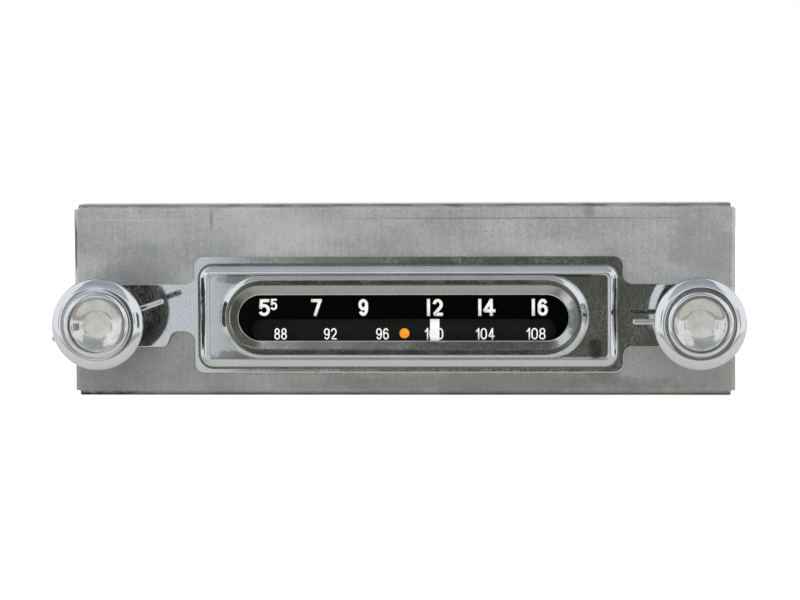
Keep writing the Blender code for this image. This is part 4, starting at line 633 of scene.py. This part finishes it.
def makeFacePlate():
    p = facePlate
    bm = bmesh.new()
    z = caseHeight / mm / 2
    halfWidth, halfHeight = p["width"] / 2 - p["bend"], p["height"] / 2 - p["bend"]
    edge = outlineLoop(bm, boxCorners(2 * halfWidth, 2 * halfHeight, 0, 0, z), 0)
    opening = outlineLoop(bm, stadiumCorners(*p["opening"], 0, windowZ / mm), 0)
    holes = [circleLoop(bm, p["bushing"], shaft.x / mm, shaft.z / mm, 0) for shaft in (leftShaft, rightShaft)]
    fillBetween(bm, edge, opening, *holes)
    for side in edge:
        one, two = (vert.co.copy() for vert in side.verts)
        centre = (one + two) / 2
        outwards = (centre - Vector((0, frontY, z * mm))).normalized()
        along = (two - one).normalized()
        hinge = centre + Vector((0, p["bend"] * mm, 0))
        angle = math.pi / 2
        if (Matrix.Rotation(angle, 3, along) @ Vector((0, -1, 0))).dot(outwards) < 0:
            angle = -angle
        made = bmesh.ops.spin(bm, geom=[side], cent=hinge, axis=along, angle=angle, steps=8, use_merge=False,
                              use_duplicate=False)["geom_last"]
        last = [item for item in made if isinstance(item, bmesh.types.BMEdge)]
        walls = bmesh.ops.extrude_edge_only(bm, edges=last)["geom"]
        bmesh.ops.translate(bm, verts=[item for item in walls if isinstance(item, bmesh.types.BMVert)],
                            vec=(0, (p["flange"] - p["bend"]) * mm, 0))
    bmesh.ops.recalc_face_normals(bm, faces=bm.faces)
    face = min(bm.faces, key=lambda item: (item.calc_center_median() - Vector((0, frontY, z * mm))).length)
    if face.normal.y > 0:
        bmesh.ops.reverse_faces(bm, faces=bm.faces)
    mesh = bpy.data.meshes.new("facePlateSheet")
    bm.to_mesh(mesh)
    bm.free()
    piece = bpy.data.objects.new("facePlateSheet", mesh)
    bpy.context.scene.collection.objects.link(piece)
    mesh.materials.append(finishes["rawSteel"])
    mesh.shade_smooth()
    mesh.set_sharp_from_angle(angle=math.radians(40))
    sheet = piece.modifiers.new("sheet", "SOLIDIFY")
    sheet.thickness = p["sheet"] * mm
    sheet.offset = -1
    sheet.use_even_offset = True
    broken = piece.modifiers.new("brokenEdges", "BEVEL")
    broken.width = 0.12 * mm
    broken.segments = 2
    broken.angle_limit = math.radians(50)
    normals = piece.modifiers.new("normals", "WEIGHTED_NORMAL")
    normals.keep_sharp = True
    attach(piece, "case")
    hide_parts("face_plate")


makeFacePlate()
for node in ("case_shell", "top_cover", "rear_panel"):
    finerCopy(node, "zincPlate", "case", 0.1)
finerCopy("heat_sink", "extrudedAluminium", "case", 0.15)
finerCopy("power_transistor", "platedSteel", "case", 0.2)
finerCopy("aerial_socket", "platedSteel", "case", 0.1)
finerCopy("power_socket", "naturalNylon", "case", 0.15)
finerCopy("support_nut", "platedSteel", "case", 0.15)
print("case made")


# ---- bezel

bezel = {
    "back": 0.3, "front": 1.3,
    "ear": 9.5, "earRise": 0.4, "flange": (129.5, 35.2), "flangeOffset": 1.6, "flangeRise": 0.67, "corner": 2.9,
    "bead": (126.2, 30.8, 4.1), "beadRise": 0.21,
    # the rounded outlines inside the bead, each its width, height and how far its middle is off the window's:
    # the lip's foot, its crest, the ledge's outer edge and the window
    "outlines": [(111.2, 25.5, 0.24, 0.46), (107.3, 22.8, 0.25, 0.38), (105.4, 19.1, 0.1, 0.31),
                 (99.8, 13.85, 0.0, 0.07)],
    "notch": (4.8, 3.4),  # depth and corner
    "boss": 5.05,
    # inset from the bead's outer foot and height
    # steep at its foot, then a gentle slope in towards a crest that falls off quickly
    "beadProfile": [(-0.6, 1.3), (-0.45, 1.3), (-0.1, 1.33), (0.0, 1.42), (0.08, 1.8), (0.17, 2.2), (0.28, 2.5),
                    (0.42, 2.64), (0.7, 2.77), (1.1, 2.94), (1.5, 3.09), (1.9, 3.21), (2.2, 3.28), (2.38, 3.3),
                    (2.52, 3.25), (2.64, 3.08), (2.74, 2.75), (2.82, 2.35), (2.88, 2.05), (2.95, 1.93),
                    (3.02, 1.9), (3.15, 1.9)],
    # share of the way from one outline to the next and height: the lip, a steep wall, then a nearly flat ledge
    "lipProfile": [(-0.14, 1.9), (-0.07, 1.9), (-0.02, 1.92), (0.02, 2.05), (0.05, 2.35), (0.1, 2.62), (0.18, 2.82),
                   (0.3, 2.97), (0.5, 3.16), (0.7, 3.34), (0.85, 3.48), (0.94, 3.56), (1.0, 3.6)],
    "wallProfile": [(0.06, 3.58), (0.12, 3.5), (0.2, 3.32), (0.36, 2.9), (0.55, 2.4), (0.74, 1.95), (0.86, 1.74),
                    (0.93, 1.68), (1.0, 1.65)],
    "ledgeProfile": [(0.1, 1.61), (0.3, 1.52), (0.55, 1.41), (0.8, 1.31), (0.93, 1.25), (0.98, 1.22), (1.0, 1.16)],
    # bands given the darker chrome as painted shade: the bead's outer foot, and the wall
    "paintedShadeBands": [0, 1, 2] + list(range(35, 43)),
    "rimProfile": [(0, 1.16), (0.02, 1.24), (0.05, 1.28), (0.1, 1.3), (0.3, 1.3)],
}


def bezelOutline(inset):
    ear, x0 = bezel["ear"] - inset, bezel["flangeOffset"]
    left, right = x0 - bezel["flange"][0] / 2 + inset, x0 + bezel["flange"][0] / 2 - inset
    top = bezel["flangeRise"] + bezel["flange"][1] / 2 - inset
    foot = bezel["flangeRise"] - bezel["flange"][1] / 2 + inset
    out, inwards = bezel["corner"] - inset, bezel["corner"] + inset
    endLeft, endRight = leftShaft.x / mm - ear, rightShaft.x / mm + ear
    high, low, end = bezel["earRise"] + ear, bezel["earRise"] - ear, ear * 0.9995
    notch, fillet = bezel["notch"]
    corners = [
        (endLeft, high, end), (left, high, inwards), (left, top, out), (right, top, out), (right, high, inwards),
        (endRight, high, end), (endRight, low, end), (right, low, inwards), (right, foot, out),
        (left, foot, out), (left, notch + low - inset, fillet - inset),
        (left - 6.9 + inset * 0.3, notch + low - inset, 2.6 - inset), (left - 8.8, low, 1.9), (endLeft, low, end),
    ]
    return [(x, z + leftShaft.z / mm, radius) for x, z, radius in corners]


def beadCorners(inset):
    width, height, corner = bezel["bead"]
    return boxCorners(width - 2 * inset, height - 2 * inset, max(corner - inset, 1.2), bezel["flangeOffset"],
                      leftShaft.z / mm + bezel["beadRise"])


def stepCorners(step, share):
    outer, inner = bezel["outlines"][step:step + 2]
    width, height, x, z = (a + (b - a) * share for a, b in zip(outer, inner))
    return stadiumCorners(width, height, x, windowZ / mm + z)


def makeBezel():
    bm = bmesh.new()
    segments = 14
    rim = [outlineLoop(bm, bezelOutline(inset), height, segments)
           for inset, height in [(0, bezel["back"])] + bezel["rimProfile"]]
    rings = [outlineLoop(bm, beadCorners(inset), height, segments) for inset, height in bezel["beadProfile"]]
    for step, profile in enumerate(("lipProfile", "wallProfile", "ledgeProfile")):
        rings += [outlineLoop(bm, stepCorners(step, share), height, segments) for share, height in bezel[profile]]
    rings.append(outlineLoop(bm, stepCorners(step, 1.0), bezel["back"], segments))
    rings.append(outlineLoop(bm, beadCorners(-0.6), bezel["back"], segments))
    holes = {height: [circleLoop(bm, bezel["boss"], shaft.x / mm, shaft.z / mm, height)
                      for shaft in (leftShaft, rightShaft)] for height in (bezel["back"], bezel["front"])}
    for one, two in zip(rim, rim[1:]):
        bridge(bm, one, two)
    # the faces of the painted-shade bands take the darker chrome
    paintedShadeBands = set()
    for index, (one, two) in enumerate(zip(rings, rings[1:])):
        made = bridge(bm, one, two)
        if index in bezel["paintedShadeBands"]:
            paintedShadeBands.update(made)
    for one, two in zip(holes[bezel["back"]], holes[bezel["front"]]):
        bridge(bm, one, two)
    fillBetween(bm, rim[-1], rings[0], *holes[bezel["front"]])
    fillBetween(bm, rim[0], rings[-1], *holes[bezel["back"]])
    for face in bm.faces:
        face.material_index = 1 if face in paintedShadeBands else 0
    addPiece("chromeBezel", bm, ("chromePlate", "paintedShadeChrome"), "case", ("bezel",), 50)


makeBezel()
print("bezel made")


# ---- dial

dial = {
    "lens": (103.6, 17.2), "thickness": 1.5,
    "slot": (92.3, 6.6, 3.0), "slotDrop": 3.7,
    "gap": 0.03, "print": 0.03,  # where the ink starts in front of the case's face, and its thickness
    "pilot": (0.29, 18.85, 1.51),
}


def makeLens():
    bm = bmesh.new()
    loops = []
    slots = []
    slotZ = windowZ / mm - dial["slotDrop"]
    width, height, corner = dial["slot"]
    for depth in (-0.02, dial["thickness"]):
        outer = outlineLoop(bm, stadiumCorners(*dial["lens"], 0, windowZ / mm), -depth)
        slot = outlineLoop(bm, boxCorners(width, height, corner, 0, slotZ), -depth)
        fillBetween(bm, outer, slot)
        known = set(bm.faces)
        bmesh.ops.contextual_create(bm, geom=slot)
        slots += [face for face in bm.faces if face not in known]
        loops.append(outer)
    bridge(bm, *loops)
    for face in slots:
        face.material_index = 1
    addPiece("dialLens", bm, ("printedAcrylic", "clearAcrylic"), "case", ("dial_lens",))


# The middle lines of each figure's strokes, in a box that is 1 wide and 1 high. An entry of two numbers is a
# point, and one of six is an arc: its middle, its two half widths, and the angles where it starts and ends.
strokes = {
    "0": [[(0.5, 0.66, 0.5, 0.34, 0, 180), (0.5, 0.34, 0.5, 0.34, 180, 360), (1, 0.66)]],
    "1": [[(0, 0.74), (1, 0.98)], [(1, 0), (1, 1)]],
    "|": [[(0.5, 0), (0.5, 1)]],
    "2": [[(0.5, 0.7, 0.5, 0.3, 172, -38), (0.1, 0.06), (0.16, 0), (1, 0)]],
    "4": [[(0.72, 0), (0.72, 1)], [(0.66, 0.97), (0.04, 0.3), (0.1, 0.25), (1, 0.25)]],
    "5": [[(0.93, 1), (0.16, 1), (0.1, 0.52)], [(0.48, 0.32, 0.52, 0.32, 138, -156)]],
    "6": [[(0.5, 0.3, 0.5, 0.3, 0, 360)], [(0.5, 0.58, 0.5, 0.42, 30, 180), (0, 0.32)]],
    "7": [[(0, 1), (0.98, 1)], [(0.96, 1), (0.34, 0)]],
    "8": [[(0.5, 0.76, 0.44, 0.24, 0, 360)], [(0.5, 0.26, 0.5, 0.26, 0, 360)]],
    "9": [[(0.5, 0.7, 0.5, 0.3, 0, 360)], [(0.5, 0.42, 0.5, 0.42, 210, 360), (1, 0.68)]],
}
# rows of figures in millimetres: the stroke, the foot and head, and each figure's left and right edge
figures = {
    "dialShortWave": {"stroke": 0.96, "foot": 24.09, "head": 29.25, "places": [
        ("5", -43.93, -40.44), ("7", -27.91, -24.66), ("9", -13.59, -10.66), ("|", 7.16, 8.05), ("2", 8.86, 11.93),
        ("|", 22.63, 23.58), ("4", 24.06, 27.82), ("|", 38.79, 39.69), ("6", 40.54, 43.62)]},
    "dialHalf": {"stroke": 0.6, "foot": 25.89, "head": 29.35, "places": [("5", -40.34, -38.21)]},
    "dialLongWave": {"stroke": 0.42, "foot": 16.92, "head": 20.42, "places": [
        ("88", -39.19, -35.36), ("92", -24.13, -20.23), ("96", -8.31, -4.43), ("100", 6.45, 12.02),
        ("104", 21.88, 27.51), ("108", 37.14, 42.93)]},
}
spacing = {"gap": 0.19, "narrow": 0.55, "arcStep": 9}  # shares of a figure's width, and degrees


def strokePoints(stroke):
    points = []
    for entry in stroke:
        if len(entry) == 2:
            points.append(entry)
            continue
        x, z, wide, high, start, end = entry
        steps = max(2, round(abs(end - start) / spacing["arcStep"]))
        for step in range(steps + 1):
            turn = math.radians(start + (end - start) * step / steps)
            points.append((x + wide * math.cos(turn), z + high * math.sin(turn)))
    return points


def drawStroke(bm, stroke, left, right, row, lift):
    # a wall of ink stands on the middle line, and a Solidify modifier gives it the stroke's width
    half = row["stroke"] / 2
    low, high = Vector((left + half, row["foot"] + half)), Vector((right - half, row["head"] - half))
    flat = [Vector((low.x + (high.x - low.x) * x, low.y + (high.y - low.y) * z)) for x, z in strokePoints(stroke)]
    closed = (flat[0] - flat[-1]).length < 0.01
    if len(stroke[0]) == 2:  # a straight end runs out to the edge of its box
        flat[0] += (flat[0] - flat[1]).normalized() * half
    if len(stroke[-1]) == 2 and not closed:
        flat[-1] += (flat[-1] - flat[-2]).normalized() * half
    verts = [bm.verts.new((p.x * mm, frontY - dial["gap"] * mm, p.y * mm)) for p in (flat[:-1] if closed else flat)]
    line = [bm.edges.new(pair) for pair in zip(verts, verts[1:] + (verts[:1] if closed else []))]
    wall = bmesh.ops.extrude_edge_only(bm, edges=line)["geom"]
    bmesh.ops.translate(bm, verts=[item for item in wall if isinstance(item, bmesh.types.BMVert)],
                        vec=(0, -(dial["print"] + lift) * mm, 0))


def makeFigures():
    for name, row in figures.items():
        bm = bmesh.new()
        for text, left, right in row["places"]:
            shares = [spacing["narrow"] if figure == "1" else 1.0 for figure in text]
            unit = (right - left) / (sum(shares) + spacing["gap"] * (len(text) - 1))
            for figure, share in zip(text, shares):
                for index, stroke in enumerate(strokes[figure]):
                    drawStroke(bm, stroke, left, left + unit * share, row, index * 0.004)
                left += unit * (share + spacing["gap"])
        piece = addPiece(name, bm, "whiteInk", "case", (), 35, False)
        ink = piece.modifiers.new("ink", "SOLIDIFY")
        ink.thickness = row["stroke"] * mm
        ink.offset = 0
        ink.use_even_offset = True


def makePilotMark():
    bm = bmesh.new()
    x, z, radius = dial["pilot"]
    bmesh.ops.create_circle(bm, cap_ends=True, radius=radius * mm, segments=48, matrix=Matrix.Translation(
        (x * mm, frontY - dial["gap"] * mm, z * mm)) @ Matrix.Rotation(math.pi / 2, 4, "X"))
    made = bmesh.ops.extrude_face_region(bm, geom=bm.faces[:])["geom"]
    bmesh.ops.translate(bm, verts=[item for item in made if isinstance(item, bmesh.types.BMVert)],
                        vec=(0, -dial["print"] * mm, 0))
    addPiece("pilotMark", bm, "amberInk", "case", (), 35, False)


makeLens()
makeFigures()
makePilotMark()
print("dial made")


# ---- knobs and levers

knob = {
    # radius, height and rounding of each corner of the section, from the bore's back round to its floor
    "back": [(10.4, 18.4, 0.4), (11.6, 19.1, 0.6), (12.9, 20.9, 0.8), (13.5, 22.0, 0.3)],
    "ring": [(13.5, 22.65, 0.1), (13.42, 22.95, 0), (13.2, 23.2, 0), (12.8, 23.47, 0), (12.2, 23.83, 0),
             (11.6, 24.14, 0), (11.15, 24.32, 0), (10.8, 24.41, 0), (10.4, 24.46, 0), (9.98, 24.5, 0.06),
             (9.88, 23.9, 0), (9.6, 23.9, 0)],
    "cap": [(9.6, 24.7, 0.12), (9.35, 25.05, 0), (9.05, 25.26, 0), (8.7, 25.41, 0), (8.4, 25.48, 0), (8.15, 25.5, 0.1)],
    "bore": [(8.15, 22.4, 0), (2.25, 22.4, 0), (2.25, 18.4, 0.2)],
}
dish = {
    # tilts of the spun face in degrees, from its edge to the middle, each at a radius
    "radius": 7.95, "top": 24.95, "depth": 2.45,
    "tilts": [(7.6, 33), (6.6, 31), (5.6, 29), (4.8, 24), (4.45, 16), (4.25, 20), (4.0, 12), (3.75, 6), (3.0, 4),
              (2.0, 3), (1.0, 2)],
}


def knobProfile():
    return knob["back"] + knob["ring"] + knob["cap"] + knob["bore"]


def dishProfile():
    points = [(0, dish["top"] - dish["depth"], 0), (dish["radius"], dish["top"] - dish["depth"], 0),
              (dish["radius"], dish["top"], 0.1)]
    height = dish["top"]
    for (radius, tilt), (inner, _) in zip(dish["tilts"], dish["tilts"][1:] + [(0, 0)]):
        points.append((radius, height, 0))
        height -= (radius - inner) * math.tan(math.radians(tilt))
    return points + [(0, height, 0)]


def shadeBackFaces(piece, lean=0.3):
    # painted shade: the side that faces the case gets a duller, darker chrome than the front
    for face in piece.data.polygons:
        face.material_index = 1 if face.normal.y > lean else 0


def makeKnobs():
    # the sides of the knobs that face the case take the darker chrome as painted shade
    chrome = ("chromePlate", "shadedBackChrome")
    for name, shaft, side, lean in (("volume", leftShaft, "left", 0.3), ("tuning", rightShaft, "right", 0.8)):
        shadeBackFaces(turnedPiece(name + "Knob", knobProfile(), shaft, chrome, name, (name + "_knob",), 128), lean)
        turnedPiece(name + "Dish", dishProfile(), shaft, side + "Dish", name,
                    (name + "_knob_insert",), 128)


lever = {"collar": (7.5, 12.9, 18.1), "bore": 3.45, "height": 16.3, "rod": 0.83}


def rodProfile(inner, reach):
    return [(0, inner, 0), (0.83, inner, 0), (0.83, reach, 0.6), (0, reach, 0)]


def makeLevers():
    low, high = lever["collar"][1:]
    profile = [(lever["bore"], low, 0), (lever["collar"][0], low, 0.3), (lever["collar"][0], high, 0.5), (lever["bore"], high, 0)]
    for name, shaft, angles in (("tone", leftShaft, ((19, 19.5), (199, 15.9))), ("fader", rightShaft, ((180, 19.5),))):
        shadeBackFaces(turnedPiece(name + "Collar", profile, shaft, ("chromePlate", "shadedBackChrome"), name,
                             (name + "_collar",), 96))
        for index, (angle, reach) in enumerate(angles):
            # the profile's height runs along -Y, and the rod lies across the shaft
            turn = Matrix.Rotation(-math.radians(angle), 4, "Y") @ Matrix.Rotation(math.pi / 2, 4, "Z")
            place = shaft + Vector((0, -lever["height"] * mm, 0))
            replaced = (name + "_rod",) if index == 0 else ()
            shadeBackFaces(turnedPiece(name + ("Rod", "Stub")[index], rodProfile(3.6 if index == 0 else 7.0, reach), place,
                                 ("chromePlate", "shadedBackChrome"), name, replaced, 32, 35, turn))


makeKnobs()
makeLevers()
print("knobs and levers made")


# ---- fastenings and turned parts

turnedNodes = {
    "left_bushing": "platedSteel", "right_bushing": "platedSteel", "tone_sleeve": "platedSteel",
    "fader_sleeve": "platedSteel", "tuning_spool": "turnedBrass",
    "left_washer": "platedSteel", "right_washer": "platedSteel", "left_nut": "platedSteel",
    "right_nut": "platedSteel", "volume_spindle": "platedSteel", "tuning_spindle": "platedSteel",
    "volume_set_screw": "platedSteel", "tuning_set_screw": "platedSteel", "cover_screw_left": "platedSteel",
    "cover_screw_right": "platedSteel", "support_stud": "platedSteel", "pulley_stud": "platedSteel",
    "guide_rail": "platedSteel", "lamp_holder": "platedSteel", "tone_control": "platedSteel",
    "fader_control": "platedSteel", "volume_control": "platedSteel", "tuner_frame": "zincPlate",
    "idler_pulley": "mouldedNylon", "pointer_carriage": "mouldedNylon", "core_carriage": "mouldedNylon",
    "pointer": "whiteEnamel", "dial_mask": "mattBlackPaint", "dial_backplate": "mattBlackPaint",
    "dial_cord": "waxedCord", "dial_lamp": "lampGlass", "circuit_board": "phenolicPaper",
    "coil_can_1": "drawnAluminium", "coil_can_2": "drawnAluminium", "coil_can_3": "drawnAluminium",
    "if_can": "drawnAluminium", "tuning_core_1": "ironPowder", "tuning_core_2": "ironPowder",
    "tuning_core_3": "ironPowder", "filter_capacitor": "shrunkSleeve", "output_transformer": "laminations",
}
for node, finish in turnedNodes.items():
    nodes[node].data.materials.clear()
    nodes[node].data.materials.append(finishes[finish])
print("inner pieces finished:", len(turnedNodes))

bpy.context.scene.view_settings.view_transform = "Standard"
